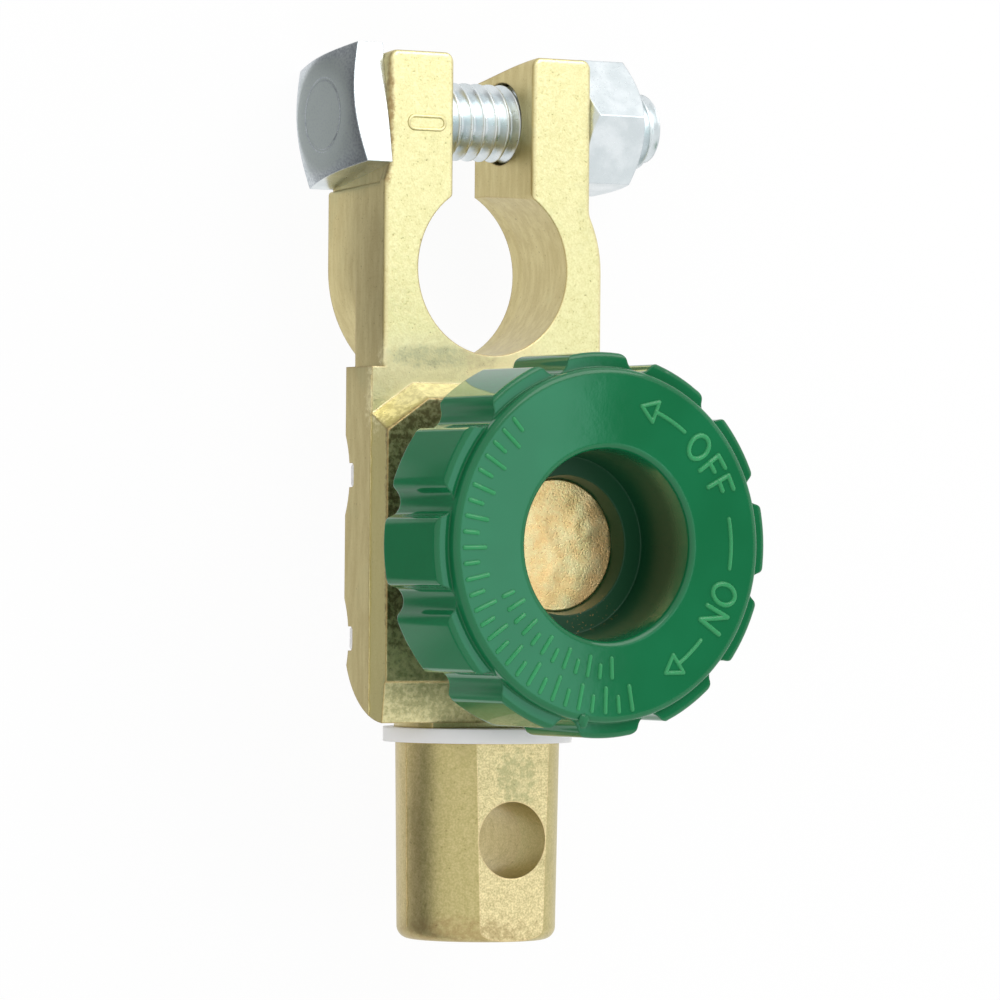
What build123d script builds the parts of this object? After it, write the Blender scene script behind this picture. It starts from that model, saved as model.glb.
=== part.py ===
"""Quick disconnect for a vehicle battery, with a hand knob that opens and closes the circuit.

A brass casting clamps on the battery's tapered post. A second post, for the cable, is held in the
casting by nylon insulation, and its flat tongue lies under a brass screw. The knob drives the screw
down on the tongue to close the circuit, and lifts it off to open it.

Frame: the origin is on the post bore's axis, on the clamp's underside. +Z points up the battery post
and the knob's axis, +Y towards the split ears, +X towards the clamp nut. Lengths are in millimetres.
"""
from build123d import *
from math import radians, sin, sqrt, tan
import os

os.makedirs("parts", exist_ok=True)

# Fits and gaps
seat_gap = 0.10            # side clearance of a piece that is pushed into a recess
thread_gap = 0.05          # radial clearance between a thread's crest and its plain bore
moulded_gap = 0.02         # radial gap between the knob and the screw that it is moulded on
near = 0.001               # two places closer than this count as one

# Split collar and ears of the clamp
collar_depth = 11.7
post_bore_top_radius = 8.65
post_taper = 1 / 9         # growth of the post's diameter for each unit of length
post_mouth_depth = 2.0     # straight wall at the mouth, before the bore starts to taper
collar_wall = 4.0
collar_offset = 0.2        # by which the collar's outside lies off the bore, towards the nut
slot_width = 9.2
slot_corner_radius = 0.9   # where the slot opens into the post bore
ear_thickness = 6.8        # of the ear on the nut's side
head_ear_thickness = 7.35  # of the ear on the bolt head's side
ear_top_y = 21.6
ear_top_slope = 10.0       # degrees by which the ears' tops fall towards the underside
ear_root_radius = 2.0      # between the ear on the nut's side and the collar
shoulder_y = 9.8           # where the casting starts to widen below the ear on the head's side
shoulder_flare = 1.2
head_ledge_y = 7.9         # ledge under the bolt's head, at the underside
head_ledge_slope = 3.0     # degrees by which the ledge climbs towards the front
head_ledge_web = 1.1       # thin web left in front of the ledge
head_ledge_radius = 0.4
ear_corner_radius = 1.0
casting_edge_radius = 0.45

# Clamp bolt and nut: five sixteenths of an inch, 18 threads to the inch
bolt_radius = 3.95
bolt_y = 15.2
bolt_z = 5.1
bolt_hole_gap = 0.25
bolt_head_width = 12.2
bolt_head_height = 4.05
bolt_head_turn = 10.5      # degrees that the square head is turned about its own axis
bolt_head_flat_radius = 5.2
bolt_head_bevel = 20.0     # degrees of the shallow bevel round the head's flat
bolt_end_length = 3.7      # free end beyond the nut
bolt_end_chamfer = 0.7
nut_width = 12.7
nut_height = 6.65
nut_turn = 6.5
nut_bevel = 30.0
nut_face_share = 0.96      # width of the nut's flat faces over its width across flats

# Neck and switch housing
neck_back_z = 5.8
housing_top_y = -10.0
housing_length = 35.4
housing_width = 27.6
housing_back_z = 6.4
housing_end_radius = 8.5   # large round of the side walls at the cable end
pad_height = 3.3           # pad above the neck's face
pad_ramp_run = 1.6         # plan length of the ramp that climbs from the neck to the pad
pad_corner_x = 4.6
pad_corner_y = 3.2
pad_start = 1.6            # from the housing's shoulder to the foot of the ramp
end_band_length = 4.1
end_band_step = 0.25
end_band_drop = 0.8
pad_wall = 2.0
side_wall = 3.4
head_wall = 4.2
end_wall = 4.5
pocket_corner_radius = 1.2

# Notches for the rear cover's lugs, and the hammered dips of the rim beside them
notch_shift = 1.4          # from the middle of the pocket to the middle of the notches
notch_offset = 8.15        # from there to each notch
notch_length = 2.4
notch_height = 1.7
notch_corner_radius = 0.4
lug_recess = 0.6           # from the side wall's outside in to the lugs' ends
dip_length = 8.0
dip_height = 0.9

# Contact screw, its threaded boss and its retaining ring
screw_radius = 4.95
screw_y_offset = 17.65     # from the housing's shoulder to the knob's axis
screw_tip_chamfer = 0.8
boss_height = 3.4
boss_radius = 8.2
ring_thickness = 0.9
ring_width = 1.5
ring_groove_depth = 0.75
ring_height = 0.45         # from the screw's tip to the ring
ring_groove_gap = 0.05
ring_mouth_angle = 50.0
ring_side_gap = 0.5        # between the ring and the nylon round it

# Knob
knob_face_z = 34.4
knob_thickness = 11.4
knob_radius = 18.8
knob_lobe_count = 12
knob_lobe_phase = 2.5      # degrees from +X to the middle of the first lobe
knob_lobe_step = 1.15      # from the face back to the front of the lobes
knob_lobe_lip = 0.45
knob_valley_depth = 1.5
knob_valley_radius = 1.5
knob_valley_edge_radius = 1.1
knob_edge_radius = 0.6
knob_back_chamfer = 0.25
cup_radius = 9.35
cup_depth = 8.3
cup_draft = 0.55
cup_lip_radius = 0.55
hub_radius = 9.0
hub_gap = 0.8              # knob's hub above the threaded boss when the switch is closed
head_disc_radius = 6.55
head_disc_recess = 1.9
head_disc_recess_flare = 0.35
head_disc_height = 1.6
head_disc_chamfer = 0.15
head_hex_width = 11.0
head_hex_height = 2.6

# Cable post, its tongue and its insulation
tail_z = 9.3
tail_top_radius = 8.25
tail_end_radius = 7.98
tail_length = 19.8
tail_flat_distance = 7.1
tail_edge_radius = 1.3
tail_hole_radius = 3.82
tail_hole_from_end = 10.15
neck_width = 11.0
neck_height = 3.8
tongue_width = 16.0
tongue_height = 2.4
tongue_drop = 2.1          # tongue's underside below the cable post's axis
tongue_end_gap = 9.0       # from the knob's axis to the tongue's free end
tongue_end_wall = 1.2      # nylon between the tongue's shoulders and the casting's end wall
washer_radius = 9.5
washer_thickness = 1.45
sleeve_wall = 1.2
seat_boss_radius = 8.4
seat_boss_height = 0.55    # by which the washer's round seat stands out of the housing's end
seat_boss_drop = 1.0       # from the pad's front edge back to the flat of the seat
cover_thickness = 2.8

# Places worked out from the sizes above
post_mouth_radius = post_bore_top_radius + (collar_depth - post_mouth_depth) * post_taper / 2
collar_radius = post_bore_top_radius + collar_wall
collar_side_x = collar_offset - collar_radius
head_ledge_z = collar_depth - head_ledge_web
head_ledge_climb = head_ledge_z * tan(radians(head_ledge_slope))
nut_side_x = slot_width / 2 + ear_thickness
head_side_x = -slot_width / 2 - head_ear_thickness
pad_z = collar_depth + pad_height
ceiling_z = pad_z - pad_wall
boss_z = pad_z + boss_height
band_end_z = pad_z - end_band_drop
housing_half = housing_width / 2
housing_end_y = housing_top_y - housing_length
round_end_y = housing_end_y + housing_end_radius
round_end_z = housing_back_z + housing_end_radius
round_middle = housing_end_radius * sin(radians(45))
screw_y = housing_top_y - screw_y_offset
pocket_half = housing_half - side_wall
pocket_top_y = housing_top_y - head_wall
pocket_end_y = housing_end_y + end_wall
pocket_middle_y = (pocket_top_y + pocket_end_y) / 2
pocket_length = pocket_top_y - pocket_end_y
notch_middle_y = pocket_middle_y - notch_shift
notch_places = (notch_middle_y - notch_offset, notch_middle_y + notch_offset)
pocket_cut = ceiling_z - min(tail_z - seat_boss_radius, 0)  # down past the seat boss
tongue_bottom_z = tail_z - tongue_drop
tongue_top_z = tongue_bottom_z + tongue_height
tongue_inner_y = pocket_end_y + tongue_end_wall
tongue_tip_y = screw_y + tongue_end_gap
seat_y = housing_end_y - seat_boss_height
seat_depth = end_wall + seat_boss_height
tail_top_y = seat_y - washer_thickness
tail_end_y = tail_top_y - tail_length
slot_half = neck_width / 2 + sleeve_wall + seat_gap
slot_top_z = tongue_bottom_z + neck_height + sleeve_wall + seat_gap
ring_z = tongue_top_z + ring_height
knob_back_z = knob_face_z - knob_thickness
cup_floor_z = knob_face_z - cup_depth
disc_z = cup_floor_z - head_disc_recess
hub_z = boss_z + hub_gap
hex_bottom_z = disc_z - head_disc_height - head_hex_height
groove_radius = screw_radius - ring_groove_depth
ring_outer_radius = groove_radius + ring_groove_gap + ring_width
ring_mouth_slope = tan(radians(ring_mouth_angle / 2))
lobe_front_z = knob_face_z - knob_lobe_step
face_radius = knob_radius - knob_valley_depth
valley_centre = face_radius + knob_valley_radius
cup_lip_middle = cup_lip_radius * sin(radians(45))
neck_middle_z = tongue_bottom_z + neck_height / 2
sleeve_bottom_z = tongue_bottom_z - sleeve_wall
nut_face_x = nut_side_x + nut_height
bolt_end_x = nut_face_x + bolt_end_length

tail_axis = Axis((0, 0, tail_z), (0, 1, 0))
screw_axis = Axis((0, screw_y, 0), (0, 0, 1))
bolt_axis = Axis((0, bolt_y, bolt_z), (1, 0, 0))
screw_section = Plane(origin=(0, screw_y, 0), x_dir=(1, 0, 0), z_dir=(0, -1, 0))
side_plane = Plane(origin=(0, 0, 0), x_dir=(0, 1, 0), z_dir=(1, 0, 0))
bolt_plane = Plane(origin=(0, bolt_y, bolt_z), x_dir=(0, 1, 0), z_dir=(1, 0, 0))
seat_plane = Plane(origin=(0, seat_y, tail_z), x_dir=(1, 0, 0), z_dir=(0, 1, 0))


def pad_outline(start_y):
    """Plan of the pad from start_y down to the housing's end, with both upper corners cut."""
    return (
        (-housing_half, housing_end_y),
        (-housing_half, start_y - pad_corner_y),
        (pad_corner_x - housing_half, start_y),
        (housing_half - pad_corner_x, start_y),
        (housing_half, start_y - pad_corner_y),
        (housing_half, housing_end_y),
    )


def is_front_outline(edge):
    """True for an edge of the front face along the outside of the ears and the collar."""
    on_front = all(abs(vertex.Z - collar_depth) < near for vertex in edge.vertices())
    middle = edge @ 0.5
    return on_front and middle.Y > housing_top_y + near and abs(middle.X) > slot_width / 2 + near


# Plan of the post bore and of the slot up to the bolt, with the corners between them rounded
with BuildSketch() as bore_outline:
    Circle(post_bore_top_radius)
    with Locations((0, bolt_y / 2)):
        Rectangle(slot_width, bolt_y)
    bore_corners = bore_outline.vertices().filter_by_position(Axis.Y, slot_width / 2, post_bore_top_radius)
    fillet(bore_corners, slot_corner_radius)


# Brass casting: split collar, ears, neck, housing and raised pad
with BuildPart() as clamp_casting:
    with BuildSketch() as collar_plan:
        with Locations((collar_offset, 0)):
            Circle(collar_radius)
        with BuildLine():
            Polyline(
                (collar_side_x, 0),
                (collar_side_x, shoulder_y - shoulder_flare),
                (head_side_x, shoulder_y),
                (head_side_x, ear_top_y),
                (nut_side_x, ear_top_y),
                (nut_side_x, 0),
                close=True,
            )
        make_face()
        ear_side = collar_plan.vertices().filter_by_position(
            Axis.X, nut_side_x - near, nut_side_x + near
        )
        fillet(ear_side.sort_by(Axis.Y)[0], ear_root_radius)
        with Locations((0, ear_top_y / 2)):
            Rectangle(slot_width, ear_top_y, mode=Mode.SUBTRACT)
        fillet(collar_plan.vertices().group_by(Axis.Y)[-1], ear_corner_radius)
    extrude(amount=collar_depth)

    # Plate that joins the collar to the housing
    with BuildSketch(Plane.XY.offset(neck_back_z)):
        with Locations((collar_offset, housing_top_y / 2)):
            Rectangle(2 * collar_radius, -housing_top_y)
    extrude(amount=collar_depth - neck_back_z)

    # Housing
    with BuildSketch(Plane.XY.offset(housing_back_z)):
        with Locations((0, (housing_top_y + housing_end_y) / 2)):
            Rectangle(housing_width, housing_length)
    extrude(amount=collar_depth - housing_back_z)

    # Raised pad with cut corners, and the ramp that climbs to it from the neck
    with BuildSketch(Plane.XY.offset(collar_depth)):
        with BuildLine():
            Polyline(*pad_outline(housing_top_y - pad_start), close=True)
        make_face()
    with BuildSketch(Plane.XY.offset(pad_z)):
        with BuildLine():
            Polyline(*pad_outline(housing_top_y - pad_start - pad_ramp_run), close=True)
        make_face()
    loft()
    with BuildSketch(side_plane):
        with BuildLine():
            Line((housing_end_y, round_end_z), (housing_end_y, housing_back_z))
            Line((housing_end_y, housing_back_z), (round_end_y, housing_back_z))
            ThreePointArc(
                (round_end_y, housing_back_z),
                (round_end_y - round_middle, round_end_z - round_middle),
                (housing_end_y, round_end_z),
            )
        make_face()
    extrude(amount=housing_half, both=True, mode=Mode.SUBTRACT)

    # Round seat on the end wall for the insulating washer, and the lower band of the pad beside it
    with BuildSketch(seat_plane):
        Circle(seat_boss_radius)
        with Locations((0, tail_z - band_end_z + seat_boss_drop - seat_boss_radius)):
            Rectangle(2 * seat_boss_radius, 2 * seat_boss_radius, mode=Mode.SUBTRACT)
    extrude(amount=seat_depth)
    with BuildSketch(side_plane):
        with BuildLine():
            Polyline(
                (housing_end_y + end_band_length, pad_z),
                (housing_end_y + end_band_length, pad_z - end_band_step),
                (housing_end_y, band_end_z),
                (housing_end_y, pad_z),
                close=True,
            )
        make_face()
    extrude(amount=housing_half, both=True, mode=Mode.SUBTRACT)

    # Threaded boss under the knob
    with BuildSketch(Plane.XY.offset(pad_z)):
        with Locations((0, screw_y)):
            Circle(boss_radius)
    extrude(amount=boss_height)
    fillet(clamp_casting.edges().group_by(Axis.Z)[-1], casting_edge_radius)

    # Outer edges of the collar, the ears and the neck
    fillet(clamp_casting.edges().filter_by(is_front_outline), casting_edge_radius)

    # Ledge under the bolt's head, with a thin web in front of it
    with BuildSketch(side_plane.offset(head_side_x)):
        with BuildLine():
            Polyline(
                (head_ledge_y, 0),
                (head_ledge_y + head_ledge_climb, head_ledge_z),
                (shoulder_y + head_ledge_web, head_ledge_z),
                (shoulder_y + head_ledge_web, 0),
                close=True,
            )
        make_face()
    extrude(amount=-collar_radius, mode=Mode.SUBTRACT)
    side_edges = clamp_casting.edges().filter_by_position(
        Axis.X, collar_side_x - near, collar_side_x + near
    )
    ledge_edges = side_edges.filter_by_position(
        Axis.Y, head_ledge_y, head_ledge_y + head_ledge_climb
    )
    fillet(ledge_edges, head_ledge_radius)

    # The ears' tops fall towards the underside.
    slope_fall = collar_depth * tan(radians(ear_top_slope))
    with BuildSketch(side_plane):
        with BuildLine():
            Polyline(
                (ear_top_y, collar_depth),
                (ear_top_y - slope_fall, 0),
                (ear_top_y, 0),
                close=True,
            )
        make_face()
    extrude(amount=collar_radius, both=True, mode=Mode.SUBTRACT)

    # Pocket for the tongue and its insulation, open to the underside
    with BuildSketch(Plane.XY.offset(ceiling_z)):
        with Locations((0, pocket_middle_y)):
            RectangleRounded(2 * pocket_half, pocket_length, pocket_corner_radius)
    extrude(amount=-pocket_cut, mode=Mode.SUBTRACT)
    with BuildSketch(Plane.XY.offset(slot_top_z)):
        with Locations((0, (pocket_end_y + seat_y) / 2)):
            Rectangle(2 * slot_half, seat_depth)
    extrude(amount=-pocket_cut, mode=Mode.SUBTRACT)

    # Rim of the side walls: a hammered dip and a notch round each lug of the rear cover
    with BuildSketch(side_plane):
        for notch_y in notch_places:
            with BuildLine():
                ThreePointArc(
                    (notch_y - dip_length / 2, housing_back_z),
                    (notch_y, housing_back_z + dip_height),
                    (notch_y + dip_length / 2, housing_back_z),
                )
                Line(
                    (notch_y + dip_length / 2, housing_back_z),
                    (notch_y - dip_length / 2, housing_back_z),
                )
            make_face()
            with Locations((notch_y, housing_back_z + notch_height / 2)):
                RectangleRounded(notch_length, notch_height, notch_corner_radius)
    extrude(amount=housing_half, both=True, mode=Mode.SUBTRACT)

    # Tapered post bore, bolt hole through both ears, and the knob screw's hole
    extrude(bore_outline.sketch, amount=collar_depth, mode=Mode.SUBTRACT)
    with BuildSketch(Plane.XZ):
        with BuildLine():
            Polyline(
                (0, 0),
                (post_mouth_radius, 0),
                (post_mouth_radius, post_mouth_depth),
                (post_bore_top_radius, collar_depth),
                (0, collar_depth),
                close=True,
            )
        make_face()
    revolve(axis=Axis.Z, mode=Mode.SUBTRACT)
    with BuildSketch(bolt_plane):
        Circle(bolt_radius + bolt_hole_gap)
    extrude(amount=collar_radius, both=True, mode=Mode.SUBTRACT)
    with BuildSketch(Plane.XY.offset(ceiling_z)):
        with Locations((0, screw_y)):
            Circle(screw_radius + thread_gap)
    extrude(amount=boss_z - ceiling_z, mode=Mode.SUBTRACT)
clamp_casting.part.label = "clamp_casting"
export_step(clamp_casting.part, "parts/clamp_casting.step")


# Clamp bolt: square head against one ear, shank through both
head_face_x = head_side_x - bolt_head_height
head_reach = bolt_head_width * sqrt(2) / 2
head_bevel_drop = (head_reach - bolt_head_flat_radius) * tan(radians(bolt_head_bevel))
with BuildPart() as clamp_bolt:
    with BuildSketch(bolt_plane.offset(head_side_x)):
        Rectangle(bolt_head_width, bolt_head_width, rotation=-bolt_head_turn)
    extrude(amount=-bolt_head_height)
    with BuildSketch(Plane.XY.offset(bolt_z)):
        with BuildLine():
            Polyline(
                (head_face_x, bolt_y + bolt_head_flat_radius),
                (head_face_x, bolt_y + head_reach),
                (head_face_x + head_bevel_drop, bolt_y + head_reach),
                close=True,
            )
        make_face()
    revolve(axis=bolt_axis, mode=Mode.SUBTRACT)
    with BuildSketch(bolt_plane.offset(head_side_x)):
        Circle(bolt_radius)
    extrude(amount=bolt_end_x - head_side_x)
    chamfer(clamp_bolt.edges().group_by(Axis.X)[-1], bolt_end_chamfer)
clamp_bolt.part.label = "clamp_bolt"
export_step(clamp_bolt.part, "parts/clamp_bolt.step")


# Clamp nut: hexagon with both faces bevelled
nut_face_radius = nut_width / 2 * nut_face_share
nut_reach = nut_width / sqrt(3)
nut_bevel_drop = (nut_reach - nut_face_radius) * tan(radians(nut_bevel))
with BuildPart() as clamp_nut:
    with BuildSketch(bolt_plane.offset(nut_side_x)):
        RegularPolygon(nut_width / 2, 6, major_radius=False, rotation=30 - nut_turn)
    extrude(amount=nut_height)
    with BuildSketch(Plane.XY.offset(bolt_z)):
        for face_x, inward in ((nut_side_x, 1), (nut_face_x, -1)):
            with BuildLine():
                Polyline(
                    (face_x, bolt_y + nut_face_radius),
                    (face_x, bolt_y + nut_reach),
                    (face_x + inward * nut_bevel_drop, bolt_y + nut_reach),
                    close=True,
                )
            make_face()
    revolve(axis=bolt_axis, mode=Mode.SUBTRACT)
    with BuildSketch(bolt_plane.offset(nut_side_x)):
        Circle(bolt_radius + thread_gap)
    extrude(amount=nut_height, mode=Mode.SUBTRACT)
clamp_nut.part.label = "clamp_nut"
export_step(clamp_nut.part, "parts/clamp_nut.step")


# Contact screw: round head in the knob's cup, hexagon that the knob grips, shank and ring groove
with BuildPart() as contact_screw:
    with BuildSketch(screw_section):
        with BuildLine():
            Polyline(
                (0, tongue_top_z),
                (screw_radius - screw_tip_chamfer, tongue_top_z),
                (groove_radius, ring_z - ring_groove_gap),
                (groove_radius, ring_z + ring_thickness + ring_groove_gap),
                (screw_radius, ring_z + ring_thickness + ring_groove_gap),
                (screw_radius, disc_z - head_disc_height),
                (head_disc_radius, disc_z - head_disc_height),
                (head_disc_radius, disc_z - head_disc_chamfer),
                (head_disc_radius - head_disc_chamfer, disc_z),
                (0, disc_z),
                close=True,
            )
        make_face()
    revolve(axis=screw_axis)
    with BuildSketch(Plane.XY.offset(hex_bottom_z)):
        with Locations((0, screw_y)):
            RegularPolygon(head_hex_width / 2, 6, major_radius=False)
    extrude(amount=head_hex_height)
contact_screw.part.label = "contact_screw"
export_step(contact_screw.part, "parts/contact_screw.step")


# Retaining ring: open ring that stops the screw from leaving the casting
with BuildPart() as retaining_ring:
    with BuildSketch(Plane.XY.offset(ring_z)):
        with Locations((0, screw_y)):
            Circle(ring_outer_radius)
            Circle(groove_radius + ring_groove_gap, mode=Mode.SUBTRACT)
            with BuildLine():
                Polyline(
                    (0, 0),
                    (2 * ring_outer_radius, 2 * ring_outer_radius * ring_mouth_slope),
                    (2 * ring_outer_radius, -2 * ring_outer_radius * ring_mouth_slope),
                    close=True,
                )
            make_face(mode=Mode.SUBTRACT)
    extrude(amount=ring_thickness)
retaining_ring.part.label = "retaining_ring"
export_step(retaining_ring.part, "parts/retaining_ring.step")


# Knob: lobed grip, face disc, cup over the screw's head and hub above the threaded boss
with BuildPart() as knob:
    with BuildSketch(Plane.XY.offset(knob_back_z)) as knob_plan:
        with Locations((0, screw_y)):
            Circle(knob_radius)
            with PolarLocations(valley_centre, knob_lobe_count, knob_lobe_phase + 180 / knob_lobe_count):
                Circle(knob_valley_radius, mode=Mode.SUBTRACT)
        fillet(knob_plan.vertices(), knob_valley_edge_radius)
    extrude(amount=knob_thickness)
    with BuildSketch(screw_section):
        with BuildLine():
            Polyline(
                (0, knob_back_z),
                (knob_radius - knob_back_chamfer, knob_back_z),
                (knob_radius, knob_back_z + knob_back_chamfer),
                (knob_radius, lobe_front_z - knob_lobe_lip),
            )
            RadiusArc(
                (knob_radius, lobe_front_z - knob_lobe_lip),
                (knob_radius - knob_lobe_lip, lobe_front_z),
                -knob_lobe_lip,
            )
            Polyline(
                (knob_radius - knob_lobe_lip, lobe_front_z),
                (face_radius, lobe_front_z),
                (face_radius, knob_face_z - knob_edge_radius),
            )
            RadiusArc(
                (face_radius, knob_face_z - knob_edge_radius),
                (face_radius - knob_edge_radius, knob_face_z),
                -knob_edge_radius,
            )
            Polyline(
                (face_radius - knob_edge_radius, knob_face_z),
                (0, knob_face_z),
                (0, knob_back_z),
            )
        make_face()
    revolve(axis=screw_axis, mode=Mode.INTERSECT)
    with BuildSketch(Plane.XY.offset(hub_z)):
        with Locations((0, screw_y)):
            Circle(hub_radius)
    extrude(amount=knob_back_z - hub_z)
    with BuildSketch(screw_section):
        with BuildLine():
            Polyline(
                (0, hub_z),
                (screw_radius + moulded_gap, hub_z),
                (screw_radius + moulded_gap, disc_z - head_disc_height - moulded_gap),
                (head_disc_radius + moulded_gap, disc_z - head_disc_height - moulded_gap),
                (head_disc_radius + moulded_gap, disc_z),
                (head_disc_radius + head_disc_recess_flare, cup_floor_z),
                (cup_radius - cup_draft, cup_floor_z),
                (cup_radius, knob_face_z - cup_lip_radius),
            )
            ThreePointArc(
                (cup_radius, knob_face_z - cup_lip_radius),
                (
                    cup_radius + cup_lip_radius - cup_lip_middle,
                    knob_face_z - cup_lip_radius + cup_lip_middle,
                ),
                (cup_radius + cup_lip_radius, knob_face_z),
            )
            Polyline(
                (cup_radius + cup_lip_radius, knob_face_z),
                (0, knob_face_z),
                (0, hub_z),
            )
        make_face()
    revolve(axis=screw_axis, mode=Mode.SUBTRACT)
    with BuildSketch(Plane.XY.offset(hex_bottom_z - moulded_gap)):
        with Locations((0, screw_y)):
            RegularPolygon(head_hex_width / 2 + moulded_gap, 6, major_radius=False)
    extrude(amount=head_hex_height + moulded_gap, mode=Mode.SUBTRACT)
knob.part.label = "knob"
export_step(knob.part, "parts/knob.step")


# Cable post: tapered barrel with two flats and a cross hole, neck and flat tongue
with BuildPart() as cable_post:
    with BuildSketch(Plane.XY.offset(tail_z)):
        with BuildLine():
            Polyline(
                (0, tail_top_y),
                (tail_top_radius, tail_top_y),
                (tail_end_radius, tail_end_y + tail_edge_radius),
            )
            RadiusArc(
                (tail_end_radius, tail_end_y + tail_edge_radius),
                (tail_end_radius - tail_edge_radius, tail_end_y),
                tail_edge_radius,
            )
            Polyline(
                (tail_end_radius - tail_edge_radius, tail_end_y),
                (0, tail_end_y),
                (0, tail_top_y),
            )
        make_face()
    revolve(axis=tail_axis)
    flat_depth = tail_top_radius - tail_flat_distance
    with BuildSketch(Plane.XZ.offset(-tail_top_y)):
        for side in (-1, 1):
            with Locations((0, tail_z + side * (tail_flat_distance + flat_depth / 2))):
                Rectangle(2 * tail_top_radius, flat_depth)
    extrude(amount=tail_length, mode=Mode.SUBTRACT)
    with BuildSketch(Plane.XY.offset(tail_z)):
        with Locations((0, tail_end_y + tail_hole_from_end)):
            Circle(tail_hole_radius)
    extrude(amount=tail_flat_distance, both=True, mode=Mode.SUBTRACT)
    with BuildSketch(Plane.XY.offset(tongue_bottom_z)):
        with Locations((0, (tail_top_y + tongue_inner_y) / 2)):
            Rectangle(neck_width, tongue_inner_y - tail_top_y)
    extrude(amount=neck_height)
    with BuildSketch(Plane.XY.offset(tongue_bottom_z)):
        with Locations((0, (tongue_inner_y + tongue_tip_y) / 2)):
            RectangleRounded(tongue_width, tongue_tip_y - tongue_inner_y, pocket_corner_radius)
    extrude(amount=tongue_height)
cable_post.part.label = "cable_post"
export_step(cable_post.part, "parts/cable_post.step")


# Insulating washer between the cable post's shoulder and the casting
with BuildPart() as insulating_washer:
    with BuildSketch(seat_plane):
        Circle(washer_radius)
        with Locations((0, tail_z - neck_middle_z)):
            Rectangle(neck_width + 2 * seat_gap, neck_height + 2 * seat_gap, mode=Mode.SUBTRACT)
    extrude(amount=-washer_thickness)
insulating_washer.part.label = "insulating_washer"
export_step(insulating_washer.part, "parts/insulating_washer.step")


# Insulating sleeve round the neck, in the casting's end wall
with BuildPart() as insulating_sleeve:
    with BuildSketch(seat_plane):
        with Locations((0, tail_z - neck_middle_z)):
            Rectangle(neck_width + 2 * sleeve_wall, neck_height + 2 * sleeve_wall)
            Rectangle(neck_width + 2 * seat_gap, neck_height + 2 * seat_gap, mode=Mode.SUBTRACT)
    extrude(amount=seat_depth)
insulating_sleeve.part.label = "insulating_sleeve"
export_step(insulating_sleeve.part, "parts/insulating_sleeve.step")


# Insulating cradle: fills the pocket over the tongue, with a hole for the screw and its ring
with BuildPart() as insulating_cradle:
    with BuildSketch(Plane.XY.offset(tongue_bottom_z)):
        with Locations((0, pocket_middle_y)):
            RectangleRounded(
                2 * (pocket_half - seat_gap),
                pocket_length - 2 * seat_gap,
                pocket_corner_radius - seat_gap,
            )
    extrude(amount=ceiling_z - seat_gap - tongue_bottom_z)
    with BuildSketch(Plane.XY.offset(tongue_bottom_z)):
        with Locations((0, (tongue_inner_y + tongue_tip_y) / 2)):
            Rectangle(tongue_width + 2 * seat_gap, tongue_tip_y - tongue_inner_y + 2 * seat_gap)
    extrude(amount=tongue_height + seat_gap, mode=Mode.SUBTRACT)
    with BuildSketch(Plane.XY.offset(tongue_bottom_z)):
        with Locations((0, (pocket_end_y + tongue_inner_y) / 2)):
            Rectangle(neck_width + 2 * seat_gap, tongue_inner_y - pocket_end_y)
    extrude(amount=neck_height + seat_gap, mode=Mode.SUBTRACT)
    with BuildSketch(Plane.XY.offset(tongue_bottom_z)):
        with Locations((0, screw_y)):
            Circle(ring_outer_radius + ring_side_gap)
    extrude(amount=ceiling_z - tongue_bottom_z, mode=Mode.SUBTRACT)
insulating_cradle.part.label = "insulating_cradle"
export_step(insulating_cradle.part, "parts/insulating_cradle.step")


# Rear cover: closes the pocket under the tongue, with four lugs in the notches and an end tab
with BuildPart() as rear_cover:
    with BuildSketch(Plane.XY.offset(tongue_bottom_z - cover_thickness)):
        with Locations((0, pocket_middle_y)):
            RectangleRounded(
                2 * (pocket_half - seat_gap),
                pocket_length - 2 * seat_gap,
                pocket_corner_radius - seat_gap,
            )
    extrude(amount=cover_thickness)
    with BuildSketch(seat_plane):
        Circle(seat_boss_radius)
        with Locations((0, tail_z - sleeve_bottom_z + seat_boss_radius / 2)):
            Rectangle(2 * (slot_half - seat_gap), seat_boss_radius, mode=Mode.INTERSECT)
    extrude(amount=seat_depth + seat_gap)
    with BuildSketch(side_plane.offset(pocket_half - seat_gap)):
        for notch_y in notch_places:
            with Locations((notch_y, housing_back_z + notch_height / 2)):
                RectangleRounded(
                    notch_length - 2 * seat_gap,
                    notch_height - 2 * seat_gap,
                    notch_corner_radius - seat_gap,
                )
    extrude(amount=side_wall + seat_gap - lug_recess)
    mirror(about=Plane.YZ)
rear_cover.part.label = "rear_cover"
export_step(rear_cover.part, "parts/rear_cover.step")
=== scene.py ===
"""Battery quick disconnect: finishes, threads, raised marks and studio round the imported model.

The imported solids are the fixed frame. Each sub-assembly is a class that holds its own sizes, dresses
its solids and adds what they leave out: the bolt's and the screw's threads, the marks on the knob, the
polarity sign on an ear and the casting's parting line. Sizes are millimetres, angles are degrees and
finished meshes are in metres.
"""
import logging
import math
from dataclasses import dataclass
from enum import Enum
from typing import Callable, Mapping, Sequence, Union

import bmesh
import bpy
from mathutils import Matrix, Vector, noise


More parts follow.
